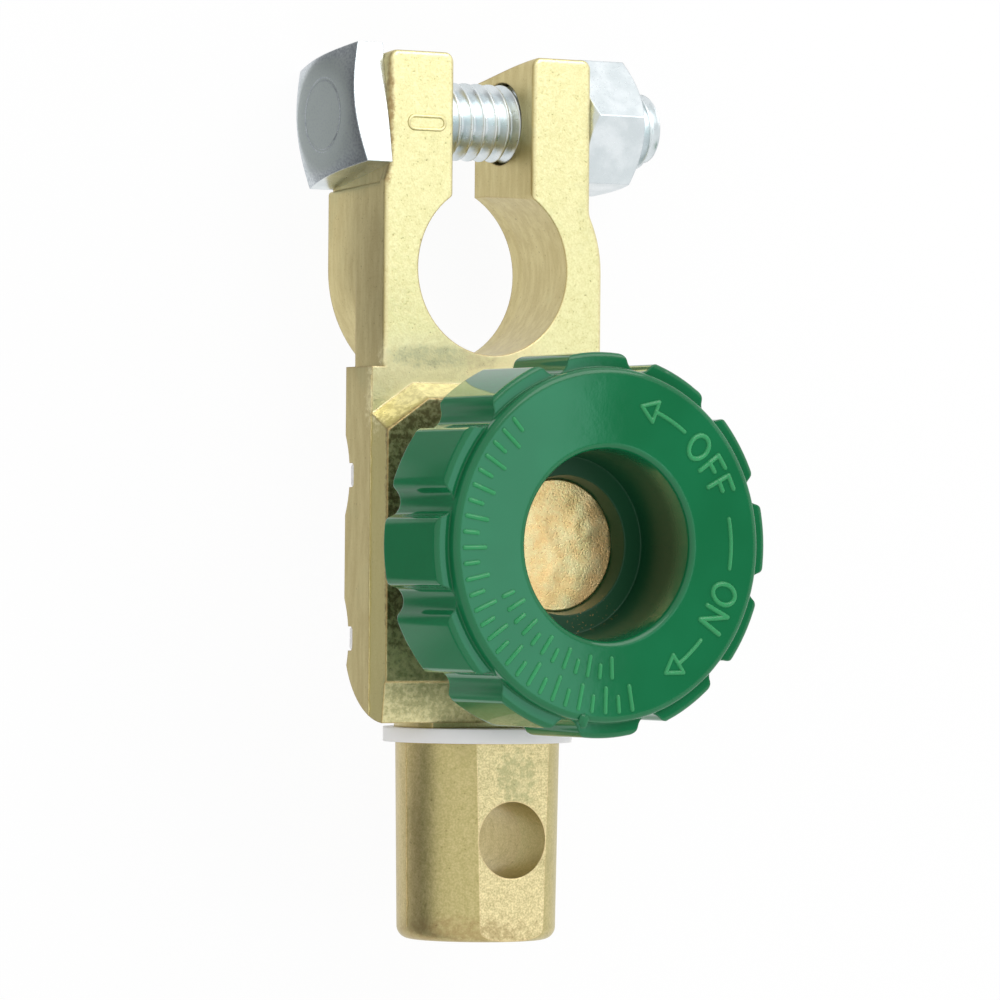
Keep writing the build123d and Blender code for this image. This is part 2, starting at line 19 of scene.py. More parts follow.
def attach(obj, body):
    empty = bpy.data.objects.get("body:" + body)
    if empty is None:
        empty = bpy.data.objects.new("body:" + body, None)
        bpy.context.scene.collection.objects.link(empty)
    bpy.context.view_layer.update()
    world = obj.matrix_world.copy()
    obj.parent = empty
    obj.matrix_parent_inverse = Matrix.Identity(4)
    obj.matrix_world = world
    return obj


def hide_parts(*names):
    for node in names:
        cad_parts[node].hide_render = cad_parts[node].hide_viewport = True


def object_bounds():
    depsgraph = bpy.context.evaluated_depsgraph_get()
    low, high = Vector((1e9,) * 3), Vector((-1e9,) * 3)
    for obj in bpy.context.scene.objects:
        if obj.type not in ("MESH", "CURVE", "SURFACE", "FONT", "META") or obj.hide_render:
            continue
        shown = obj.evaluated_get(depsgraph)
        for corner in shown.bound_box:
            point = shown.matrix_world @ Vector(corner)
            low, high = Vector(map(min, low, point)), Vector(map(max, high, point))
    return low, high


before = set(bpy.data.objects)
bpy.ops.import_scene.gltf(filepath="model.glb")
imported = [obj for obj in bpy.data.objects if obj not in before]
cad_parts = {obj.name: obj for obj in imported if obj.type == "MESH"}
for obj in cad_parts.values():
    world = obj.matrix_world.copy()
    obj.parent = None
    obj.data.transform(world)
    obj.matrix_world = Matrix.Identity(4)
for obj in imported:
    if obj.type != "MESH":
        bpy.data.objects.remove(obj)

bpy.context.view_layer.update()
CAD_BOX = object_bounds()
MILLIMETRE = 0.001
LOG = logging.getLogger("quick_disconnect")

# Lengths in millimetres, angles in degrees, and the middle of the noise, which runs from 0 to 1.
KNOB_AXIS_Y = -27.65
OVERLAP = 0.05
DOUBLES = 1e-4
ON_PLANE = 1e-5
THREAD_SHARP = 32.0
DOME_SLOPES = (75, 50, 25)
BEAD_SIDES = 10
EDGE_SAMPLES = 6
MIDDLE = 0.5

Point = tuple[float, float, float]
Span = tuple[float, float]
Colour = tuple[float, float, float, float]
Number = Union["Term", float]
Sockets = Mapping[Union[int, str], object]
Station = tuple[Vector, Vector, float]


class Slot(Enum):
    """Material slots of the record that the finishes belong to."""

    CAST_BRASS = "cast_brass"
    TURNED_BRASS = "turned_brass"
    ZINC_STEEL = "zinc_steel"
    SPRING_STEEL = "spring_steel"
    GREEN_PLASTIC = "green_plastic"
    WHITE_NYLON = "white_nylon"


class Body(Enum):
    """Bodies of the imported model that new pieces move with."""

    CLAMP = "clamp"
    KNOB = "knob"
    NUT = "nut"
    BOLT = "bolt"


# Shader maths


class Term:
    """A shader value or vector whose Python arithmetic adds Math nodes to its graph."""

    def __init__(self, graph: "Graph", socket: bpy.types.NodeSocket) -> None:
        """Keep the graph and the socket that carries the value."""
        self.graph = graph
        self.socket = socket

    def math(self, operation: str, other: Number = 0.0, swapped: bool = False) -> "Term":
        """Add one Math node.

        Args:
            operation: The Math node's operation.
            other: The second value, or a plain number.
            swapped: True where this value is the second operand.

        Returns:
            The node's result.
        """
        first, second = (other, self) if swapped else (self, other)
        return self.graph.term("ShaderNodeMath", {"operation": operation}, {0: first, 1: second})

    def __add__(self, other: Number) -> "Term":
        """Sum."""
        return self.math("ADD", other)

    __radd__ = __add__

    def __sub__(self, other: Number) -> "Term":
        """Difference."""
        return self.math("SUBTRACT", other)

    def __rsub__(self, other: Number) -> "Term":
        """Difference, from the other value."""
        return self.math("SUBTRACT", other, swapped=True)

    def __mul__(self, other: Number) -> "Term":
        """Product."""
        return self.math("MULTIPLY", other)

    __rmul__ = __mul__

    def __truediv__(self, other: Number) -> "Term":
        """Quotient."""
        return self.math("DIVIDE", other)

    def __rtruediv__(self, other: Number) -> "Term":
        """Quotient, of the other value by this one."""
        return self.math("DIVIDE", other, swapped=True)

    def __abs__(self) -> "Term":
        """Size without its sign."""
        return self.math("ABSOLUTE")

    def root(self) -> "Term":
        """Square root."""
        return self.math("SQRT")

    def most(self, other: Number) -> "Term":
        """The larger of two values."""
        return self.math("MAXIMUM", other)

    def rise(self, low: float, high: float) -> "Term":
        """Smooth step.

        Args:
            low: Value at which the result is 0.
            high: Value at which the result is 1, which may be below low.

        Returns:
            A value from 0 to 1.
        """
        ends = (low, high, 0.0, 1.0) if low <= high else (high, low, 1.0, 0.0)
        names = ("From Min", "From Max", "To Min", "To Max")
        sockets = {"Value": self, **dict(zip(names, ends))}
        return self.graph.term("ShaderNodeMapRange", {"interpolation_type": "SMOOTHSTEP"}, sockets)


class Graph:
    """Node tree of one material or of the world."""

    def __init__(self, tree: bpy.types.NodeTree) -> None:
        """Empty the tree.

        Args:
            tree: The node tree to fill.
        """
        self.tree = tree
        tree.nodes.clear()

    def add(
        self,
        kind: str,
        settings: Mapping[str, object] | None = None,
        sockets: Sockets | None = None,
    ) -> bpy.types.Node:
        """Add a node.

        Args:
            kind: The node's type.
            settings: Properties of the node, which are set first.
            sockets: Inputs by number or name, each a Term to link or a constant.

        Returns:
            The new node.
        """
        node = self.tree.nodes.new(kind)
        for name, value in (settings or {}).items():
            setattr(node, name, value)
        for key, value in (sockets or {}).items():
            if isinstance(value, Term):
                self.tree.links.new(value.socket, node.inputs[key])
            else:
                node.inputs[key].default_value = value
        return node

    def term(
        self,
        kind: str,
        settings: Mapping[str, object] | None = None,
        sockets: Sockets | None = None,
        output: Union[int, str] = 0,
    ) -> Term:
        """Add a node and take one of its outputs.

        Args:
            kind: The node's type.
            settings: Properties of the node.
            sockets: Inputs of the node.
            output: Number or name of the output.

        Returns:
            The output as a value.
        """
        return Term(self, self.add(kind, settings, sockets).outputs[output])

    def place(self) -> Term:
        """Point on the piece in millimetres."""
        metres = self.term("ShaderNodeTexCoord", output="Object")
        return self.term("ShaderNodeVectorMath", {"operation": "SCALE"}, {0: metres, "Scale": 1 / MILLIMETRE})

    def facing(self) -> tuple[Term, Term, Term]:
        """Parts of the piece's own surface normal along X, Y and Z."""
        return self.parts(self.term("ShaderNodeTexCoord", output="Normal"))

    def parts(self, vector: Term) -> tuple[Term, Term, Term]:
        """X, Y and Z of a vector."""
        x, y, z = self.add("ShaderNodeSeparateXYZ", sockets={0: vector}).outputs
        return Term(self, x), Term(self, y), Term(self, z)

    def near(self, place: Term, centre: Point, reach: Point) -> Term:
        """Square of the distance from a centre, which is 1 at the reach along each axis."""
        squares = []
        for term, middle, length in zip(self.parts(place), centre, reach):
            part = (term - middle) / length
            squares.append(part * part)
        return squares[0] + squares[1] + squares[2]

    def blend(self, share: Number, first: object, second: object) -> Term:
        """Mix two colours.

        Args:
            share: Part of the second colour.
            first: A colour or a Term.
            second: A colour or a Term.

        Returns:
            The mixed colour.
        """
        sockets = {0: share, 6: first, 7: second}
        return self.term("ShaderNodeMix", {"data_type": "RGBA"}, sockets, 2)

    def rounded(self, radius: float) -> Term:
        """Surface normal with the edges rounded to a radius in millimetres."""
        return self.term("ShaderNodeBevel", {"samples": EDGE_SAMPLES}, {"Radius": radius * MILLIMETRE})

    def relief(self, height: Term, depth: float, normal: Term, strength: float = 1.0) -> Term:
        """Normal with a relief.

        Args:
            height: Height from 0 to 1.
            depth: Height of 1 in millimetres.
            normal: Normal that it starts from.
            strength: Share of the effect.

        Returns:
            The new normal.
        """
        sockets = {"Height": height, "Distance": depth * MILLIMETRE, "Strength": strength, "Normal": normal}
        return self.term("ShaderNodeBump", sockets=sockets)

    def surface(self, sockets: Sockets) -> None:
        """End the graph in a Principled surface."""
        shader = self.term("ShaderNodeBsdfPrincipled", sockets=sockets)
        self.add("ShaderNodeOutputMaterial", sockets={"Surface": shader})


def new_graph(name: str) -> tuple[bpy.types.Material, Graph]:
    """Make a material with an empty graph.

    Args:
        name: The material's name.

    Returns:
        The material and its graph.
    """
    material = bpy.data.materials.new(name)
    material.use_nodes = True
    return material, Graph(material.node_tree)


# Finishes


@dataclass(frozen=True)
class Grain:
    """Noise of one feature size in millimetres, moved and stretched so that no two grains agree."""

    size: float
    detail: float = 2.0
    rough: float = 0.5
    offset: Point | None = None
    stretch: Point = (1.0, 1.0, 1.0)

    def over(self, graph: Graph, place: Term) -> Term:
        """Noise from 0 to 1.

        Args:
            graph: The material's graph.
            place: Point on the piece.

        Returns:
            The noise value there.
        """
        if self.offset is not None:
            moved = {"Vector": place, "Location": self.offset, "Scale": self.stretch}
            place = graph.term("ShaderNodeMapping", {"vector_type": "POINT"}, moved)
        sockets = {"Vector": place, "Scale": 1 / self.size, "Detail": self.detail, "Roughness": self.rough}
        return graph.term("ShaderNodeTexNoise", sockets=sockets)


def mixture(first: Term, second: Term, share: float) -> Term:
    """Sum of two values, of which the first has the given share."""
    return first * share + second * (1 - share)


@dataclass(frozen=True)
class Patch:
    """Uneven patch of another tone round a point, in millimetres."""

    colour: Colour
    centre: Point
    reach: Point
    share: float
    fray: float = 2.0
    breakup: float = 1.4
    border: Span = (1.1, 0.2)
    gaps: Span = (0.62, 0.40)
    gap_share: float = 0.5

    def over(self, graph: Graph, colour: Term, place: Term, coarse: Term, cloud: Term) -> Term:
        """Lay the patch over a colour.

        Args:
            graph: The material's graph.
            colour: Colour that it lies on.
            place: Point on the piece.
            coarse: Coarse grain that breaks the patch up.
            cloud: Cloudy grain that frays its border.

        Returns:
            The new colour.
        """
        away = graph.near(place, self.centre, self.reach)
        away = away + (cloud - MIDDLE) * self.fray + (coarse - MIDDLE) * self.breakup
        held = coarse.rise(*self.gaps) * (1 - self.gap_share) + self.gap_share
        return graph.blend(away.rise(*self.border) * held * self.share, colour, self.colour)


@dataclass(frozen=True)
class Finish:
    """Named finish, whose kinds each say what goes into the surface."""

    name: str

    def material(self) -> bpy.types.Material:
        """Build the finish's material."""
        material, graph = new_graph(self.name)
        graph.surface(self.inputs(graph, graph.place()))
        return material

    def inputs(self, graph: Graph, place: Term) -> Sockets:
        """Inputs of the Principled surface.

        Args:
            graph: The material's graph.
            place: Point on the piece in millimetres.

        Returns:
            Constants and Terms by the input's name.
        """
        raise NotImplementedError


@dataclass(frozen=True)
class CastBrass(Finish):
    """Tumbled casting: speckled fronts and streaked walls in tones set by the way each face turns, partly
    painted light and shade and partly real polish; dull clouds, stained patches and patches of painted light
    and shade.

    A span holds the two ends of a smooth step, and a share says how strongly the tone is laid on.
    """

    name: str = "cast_brass_tumbled"
    front: Colour = (0.77, 0.69, 0.355, 1.0)
    bright: Colour = (0.87, 0.80, 0.465, 1.0)
    wall: Colour = (0.56, 0.465, 0.215, 1.0)
    wall_light: Colour = (0.70, 0.61, 0.31, 1.0)
    upper_wall: Colour = (0.50, 0.455, 0.18, 1.0)
    dull: Colour = (0.50, 0.47, 0.24, 1.0)
    pit: Colour = (0.22, 0.16, 0.07, 1.0)
    edge: Colour = (0.50, 0.35, 0.14, 1.0)
    patches: tuple[Patch, ...] = (
        # Painted light: a pale pool on the neck and ramp beside the top of the knob.
        Patch((1.0, 0.93, 0.56, 1.0), (-6.0, -11.2, 12.6), (15.0, 5.5, 3.0), 0.9),
        # Painted shade: a dark olive band along the neck under the knob's top rim.
        Patch((0.33, 0.35, 0.20, 1.0), (-5.5, -8.9, 11.7), (7.5, 1.4, 2.0), 0.55),
        Patch((0.86, 0.62, 0.31, 1.0), (0.5, -9.2, 11.7), (5.0, 4.0, 2.0), 0.35),
        # Painted shadow and painted reflection of the knob: dark brown over the pad's face under the knob.
        Patch((0.20, 0.14, 0.06, 1.0), (0.0, -24.0, 15.2), (22.0, 19.0, 0.9), 0.85),
        # Painted shade and painted reflection of the knob: a darker band on the housing's face below the pad.
        Patch((0.36, 0.36, 0.17, 1.0), (-6.0, -43.0, 15.0), (12.0, 4.5, 1.2), 0.75),
        Patch((0.34, 0.22, 0.09, 1.0), (-12.1, 15.5, 11.6), (0.7, 7.5, 0.9), 0.85),
    )
    coarse: Grain = Grain(0.6, 3.0, 0.62)
    fine: Grain = Grain(0.2, 1.0, 0.5, (7.0, 3.0, 5.0))
    cloud: Grain = Grain(7.0, 3.0, 0.55, (11.0, 2.0, 4.0))
    streak: Grain = Grain(0.9, 3.0, 0.6, (3.0, 1.0, 8.0), (1.0, 0.16, 1.0))
    strong_share: float = 0.6
    front_span: Span = (0.55, 0.9)
    speckle_span: Span = (0.40, 0.64)
    wall_speckle: float = 0.12
    streak_span: Span = (0.35, 0.7)
    streak_share: float = 0.7
    upper_span: Span = (11.4, 11.8)
    upper_share: float = 0.7
    dull_span: Span = (0.52, 0.72)
    dull_share: float = 0.45
    pit_span: Span = (0.37, 0.29)
    pit_share: float = 0.6
    edge_span: Span = (0.99, 0.88)
    edge_share: float = 0.8
    edge_radius: float = 0.28
    metallic: float = 0.88
    matt_centre: Point = (-4.0, -10.5, 13.0)
    matt_reach: Point = (14.0, 5.0, 3.2)
    matt_span: Span = (1.1, 0.4)
    matt_loss: float = 0.5
    roughness: float = 0.30
    grain_rough: float = 0.14
    front_polish: float = 0.02
    relief_depth: float = 0.04
    relief_share: float = 0.75

    def inputs(self, graph: Graph, place: Term) -> Sockets:
        """Speckled fronts and streaked walls, toned apart partly as painted light and shade, then dull
        clouds, stained patches, patches of painted light and shade, pits and worn edges.
        """
        grains = (self.coarse, self.fine, self.cloud, self.streak)
        coarse, fine, cloud, streak = (grain.over(graph, place) for grain in grains)
        # Painted light and shade, partly real polish: faces towards Z take the paler front tones, the rest
        # take the darker wall tones.
        front = abs(graph.facing()[2]).rise(*self.front_span)
        speckle = mixture(fine.rise(*self.speckle_span), coarse.rise(*self.speckle_span), self.strong_share)
        fronts = graph.blend(speckle, self.front, self.bright)
        walls = graph.blend(streak.rise(*self.streak_span) * self.streak_share, self.wall, self.wall_light)
        upper = graph.parts(place)[2].rise(*self.upper_span)
        walls = graph.blend(upper * self.upper_share, walls, self.upper_wall)
        walls = graph.blend(speckle * self.wall_speckle, walls, self.bright)
        colour = graph.blend(front, walls, fronts)
        colour = graph.blend(cloud.rise(*self.dull_span) * self.dull_share, colour, self.dull)
        for patch in self.patches:
            colour = patch.over(graph, colour, place, coarse, cloud)
        pits = mixture(fine, coarse, self.strong_share).rise(*self.pit_span)
        colour = graph.blend(pits * self.pit_share, colour, self.pit)
        rounded = graph.rounded(self.edge_radius)
        colour = graph.blend(self.worn(graph, rounded) * self.edge_share, colour, self.edge)
        matt = graph.near(place, self.matt_centre, self.matt_reach).rise(*self.matt_span)
        height = mixture(coarse, fine, self.strong_share)
        return {
            "Base Color": colour,
            "Metallic": self.metallic - matt * self.matt_loss,
            "Roughness": self.roughness + coarse * self.grain_rough - front * self.front_polish,
            "Normal": graph.relief(height, self.relief_depth, rounded, self.relief_share),
        }

    def worn(self, graph: Graph, rounded: Term) -> Term:
        """Share of wear, from how far the rounded normal turns from the plain one."""
        plain = graph.term("ShaderNodeNewGeometry", output="Normal")
        sockets = {0: plain, 1: rounded}
        close = graph.term("ShaderNodeVectorMath", {"operation": "DOT_PRODUCT"}, sockets, "Value")
        return close.rise(*self.edge_span)


@dataclass(frozen=True)
class TurnedBrass(Finish):
    """Screw brass with a hammered, slightly coppery head."""

    name: str = "turned_brass_head"
    base: Colour = (1.0, 0.66, 0.30, 1.0)
    light: Colour = (1.0, 0.80, 0.43, 1.0)
    dark: Colour = (0.50, 0.30, 0.12, 1.0)
    cloud: Grain = Grain(2.4, 4.0, 0.6)
    speck: Grain = Grain(0.22, 2.0, 0.5, (4.0, 9.0, 2.0))
    light_span: Span = (0.38, 0.66)
    dark_span: Span = (0.36, 0.26)
    dark_share: float = 0.7
    metallic: float = 0.85
    roughness: float = 0.22
    speck_rough: float = 0.14
    edge_radius: float = 0.1
    relief_depth: float = 0.09
    relief_share: float = 0.8

    def inputs(self, graph: Graph, place: Term) -> Sockets:
        """Clouded brass with dark specks and a hammered relief."""
        cloud, speck = self.cloud.over(graph, place), self.speck.over(graph, place)
        colour = graph.blend(cloud.rise(*self.light_span), self.base, self.light)
        colour = graph.blend(speck.rise(*self.dark_span) * self.dark_share, colour, self.dark)
        height, rounded = mixture(cloud, speck, 0.5), graph.rounded(self.edge_radius)
        return {
            "Base Color": colour,
            "Metallic": self.metallic,
            "Roughness": self.roughness + speck * self.speck_rough,
            "Normal": graph.relief(height, self.relief_depth, rounded, self.relief_share),
        }


@dataclass(frozen=True)
class ZincSteel(Finish):
    """Bright zinc plate, faintly blue, with satin ends and speckled painted shade on the bevel of the bolt's
    head.
    """

    name: str = "zinc_plate"
    base: Colour = (0.66, 0.72, 0.74, 1.0)
    light: Colour = (0.80, 0.85, 0.87, 1.0)
    dull: Colour = (0.50, 0.56, 0.54, 1.0)
    # Painted shade colour for the bevel of the bolt's head.
    bevel_shade: Colour = (0.34, 0.38, 0.43, 1.0)
    cloud: Grain = Grain(3.0, 3.0, 0.55)
    fine: Grain = Grain(0.25, 2.0, 0.5, (2.0, 6.0, 1.0))
    light_span: Span = (0.35, 0.7)
    speck_span: Span = (0.38, 0.66)
    head_span: Span = (-14.0, -15.0)
    bevel_span: Span = (0.5, 0.8)
    bevel_shade_share: float = 0.25
    bevel_shade_speck: float = 0.45
    end_span: Span = (0.95, 0.99)
    end_share: float = 0.9
    end_speck: float = 0.35
    roughness: float = 0.24
    fine_rough: float = 0.1
    end_rough: float = 0.16
    edge_radius: float = 0.22
    fine_share: float = 0.6
    relief_depth: float = 0.02
    relief_share: float = 0.6

    def inputs(self, graph: Graph, place: Term) -> Sockets:
        """Clouded plate, with speckled painted shade on the head's bevel, and duller on faces along X."""
        cloud, fine = self.cloud.over(graph, place), self.fine.over(graph, place)
        along = abs(graph.facing()[0])
        end, speck = along.rise(*self.end_span), fine.rise(*self.speck_span)
        colour = graph.blend(cloud.rise(*self.light_span), self.base, self.light)
        head = graph.parts(place)[0].rise(*self.head_span)
        # Painted shade: the sloped bevel of the head is darkened, speckled.
        shaded_bevel = head * along.rise(*self.bevel_span)
        colour = graph.blend(shaded_bevel * (self.bevel_shade_share + speck * self.bevel_shade_speck), colour, self.bevel_shade)
        colour = graph.blend(end * (self.end_share - speck * self.end_speck), colour, self.dull)
        height, rounded = mixture(fine, cloud, self.fine_share), graph.rounded(self.edge_radius)
        return {
            "Base Color": colour,
            "Metallic": 1.0,
            "Roughness": self.roughness + fine * self.fine_rough + end * self.end_rough,
            "Normal": graph.relief(height, self.relief_depth, rounded, self.relief_share),
        }


@dataclass(frozen=True)
class SpringSteel(Finish):
    """Dark spring steel of the retaining ring."""

    name: str = "spring_steel_dark"
    base: Colour = (0.24, 0.24, 0.25, 1.0)
    light: Colour = (0.40, 0.40, 0.42, 1.0)
    cloud: Grain = Grain(0.8, 3.0)
    light_span: Span = (0.35, 0.7)
    roughness: float = 0.3
    cloud_rough: float = 0.15
    edge_radius: float = 0.1

    def inputs(self, graph: Graph, place: Term) -> Sockets:
        """Clouded dark steel."""
        cloud = self.cloud.over(graph, place)
        return {
            "Base Color": graph.blend(cloud.rise(*self.light_span), self.base, self.light),
            "Metallic": 1.0,
            "Roughness": self.roughness + cloud * self.cloud_rough,
            "Normal": graph.rounded(self.edge_radius),
        }


@dataclass(frozen=True)
class GlossPlastic(Finish):
    """Glossy moulded plastic of the knob, with painted shade deep in its cup and brass dust in it."""

    name: str = "green_moulding"
    base: Colour = (0.006, 0.150, 0.052, 1.0)
    light: Colour = (0.010, 0.195, 0.075, 1.0)
    # Painted shade colour deep in the cup.
    shade: Colour = (0.005, 0.050, 0.018, 1.0)
    dust: Colour = (0.40, 0.24, 0.08, 1.0)
    swirl: Grain = Grain(9.0, 2.0, 0.5, (5.0, 1.0, 3.0), (1.0, 1.0, 0.4))
    peel: Grain = Grain(2.2)
    fine: Grain = Grain(0.3, 2.0, 0.5, (1.0, 8.0, 6.0))
    light_span: Span = (0.3, 0.75)
    light_share: float = 0.5
    axis_y: float = KNOB_AXIS_Y
    cup_span: Span = (9.9, 9.5)
    deep_span: Span = (34.0, 30.9)
    deep_share: float = 0.85
    cup_floor: float = 26.1
    dust_angle: float = 292.0
    dust_turn: Span = (0.9, 0.995)
    dust_height: Span = (1.6, 0.4)
    dust_grain: Span = (0.62, 0.72)
    roughness: float = 0.035
    peel_rough: float = 0.02
    fine_rough: float = 0.01
    deep_rough: float = 0.35
    edge_radius: float = 0.22
    peel_share: float = 0.8
    relief_depth: float = 0.006
    relief_share: float = 0.5
    glass_index: float = 1.5
    specular: float = 0.38

    def inputs(self, graph: Graph, place: Term) -> Sockets:
        """Swirled plastic with painted shade and more roughness deep in the cup, and dust on one side of its
        floor.
        """
        x, y, z = graph.parts(place)
        grains = (self.swirl, self.peel, self.fine)
        swirl, peel, fine = (grain.over(graph, place) for grain in grains)
        colour = graph.blend(swirl.rise(*self.light_span) * self.light_share, self.base, self.light)
        across = y - self.axis_y
        reach = (x * x + across * across).root()
        inside = reach.rise(*self.cup_span)
        # Painted shade: the plastic darkens deep in the cup.
        deep = inside * z.rise(*self.deep_span)
        colour = graph.blend(deep * self.deep_share, colour, self.shade)
        turn = math.radians(self.dust_angle)
        beside = (x * math.cos(turn) + across * math.sin(turn)) / reach
        floor = abs(z - self.cup_floor).rise(*self.dust_height)
        dust = inside * floor * beside.rise(*self.dust_turn) * fine.rise(*self.dust_grain)
        rough = self.roughness + peel * self.peel_rough + fine * self.fine_rough + deep * self.deep_rough
        height, rounded = mixture(peel, fine, self.peel_share), graph.rounded(self.edge_radius)
        return {
            "Base Color": graph.blend(dust, colour, self.dust),
            "Roughness": rough,
            "Normal": graph.relief(height, self.relief_depth, rounded, self.relief_share),
            "IOR": self.glass_index,
            "Specular IOR Level": self.specular,
        }


@dataclass(frozen=True)
class Nylon(Finish):
    """White moulded nylon of the insulation."""

    name: str = "white_nylon_moulding"
    base: Colour = (0.93, 0.93, 0.97, 1.0)
    light: Colour = (0.97, 0.97, 1.0, 1.0)
    cloud: Grain = Grain(2.5, 3.0)
    light_span: Span = (0.3, 0.7)
    roughness: float = 0.42
    cloud_rough: float = 0.12
    edge_radius: float = 0.15
    relief_depth: float = 0.02
    relief_share: float = 0.5
    glow_share: float = 0.6
    glow_depth: float = 2.0

    def inputs(self, graph: Graph, place: Term) -> Sockets:
        """Clouded white with light that goes a little way in."""
        cloud, rounded = self.cloud.over(graph, place), graph.rounded(self.edge_radius)
        return {
            "Base Color": graph.blend(cloud.rise(*self.light_span), self.base, self.light),
            "Roughness": self.roughness + cloud * self.cloud_rough,
            "Normal": graph.relief(cloud, self.relief_depth, rounded, self.relief_share),
            "Subsurface Weight": self.glow_share,
            "Subsurface Radius": (1.0, 1.0, 1.0),
            "Subsurface Scale": self.glow_depth * MILLIMETRE,
        }


class Coat(Enum):
    """Finishes of the object, each with the slot that it belongs to."""

    CASTING = Slot.CAST_BRASS, CastBrass()
    # Painted light and shade, partly real polish: the barrel's flat front takes paler tones than its round
    # walls.
    BARREL = Slot.CAST_BRASS, CastBrass(
        name="cast_brass_barrel",
        front=(0.64, 0.51, 0.26, 1.0),
        bright=(0.95, 0.79, 0.45, 1.0),
        wall=(0.46, 0.375, 0.155, 1.0),
        wall_light=(0.57, 0.475, 0.22, 1.0),
        upper_wall=(0.47, 0.42, 0.17, 1.0),
        dull=(0.40, 0.345, 0.15, 1.0),
        wall_speckle=0.30,
        edge=(0.90, 0.72, 0.38, 1.0),
        patches=(
            Patch((0.40, 0.27, 0.12, 1.0), (-4.0, -66.2, 12.0), (9.0, 2.0, 8.0), 0.55),
            Patch((0.38, 0.37, 0.18, 1.0), (0.5, -50.5, 16.4), (2.6, 3.2, 1.0), 0.5),
        ),
        front_span=(0.90, 0.97),
        matt_centre=(0.0, 0.0, -50.0),
    )
    SCREW = Slot.TURNED_BRASS, TurnedBrass()
    FASTENER = Slot.ZINC_STEEL, ZincSteel()
    RING = Slot.SPRING_STEEL, SpringSteel()
    MOULDING = Slot.GREEN_PLASTIC, GlossPlastic()
    # Painted highlight: the raised marks take a lighter green than the knob's face.
    MARKS_PAINTED_HIGHLIGHT = Slot.GREEN_PLASTIC, GlossPlastic(
        name="green_moulding_marks_painted_highlight",
        base=(0.020, 0.290, 0.095, 1.0),
        light=(0.032, 0.350, 0.125, 1.0),
    )
    INSULATION = Slot.WHITE_NYLON, Nylon()

    def __init__(self, slot: Slot, finish: Finish) -> None:
        """Keep the slot and the finish of a member."""
        self.slot = slot
        self.finish = finish


class Finishes:
    """Materials of the object, each made once."""

    def __init__(self) -> None:
        """Build every material."""
        self.made = {coat: coat.finish.material() for coat in Coat}

    def dress(self, node: str, coat: Coat) -> None:
        """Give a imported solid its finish."""
        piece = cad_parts[node]
        piece.data.materials.clear()
        piece.data.materials.append(self.made[coat])
        LOG.info("dressed %s", node)


# Mesh making


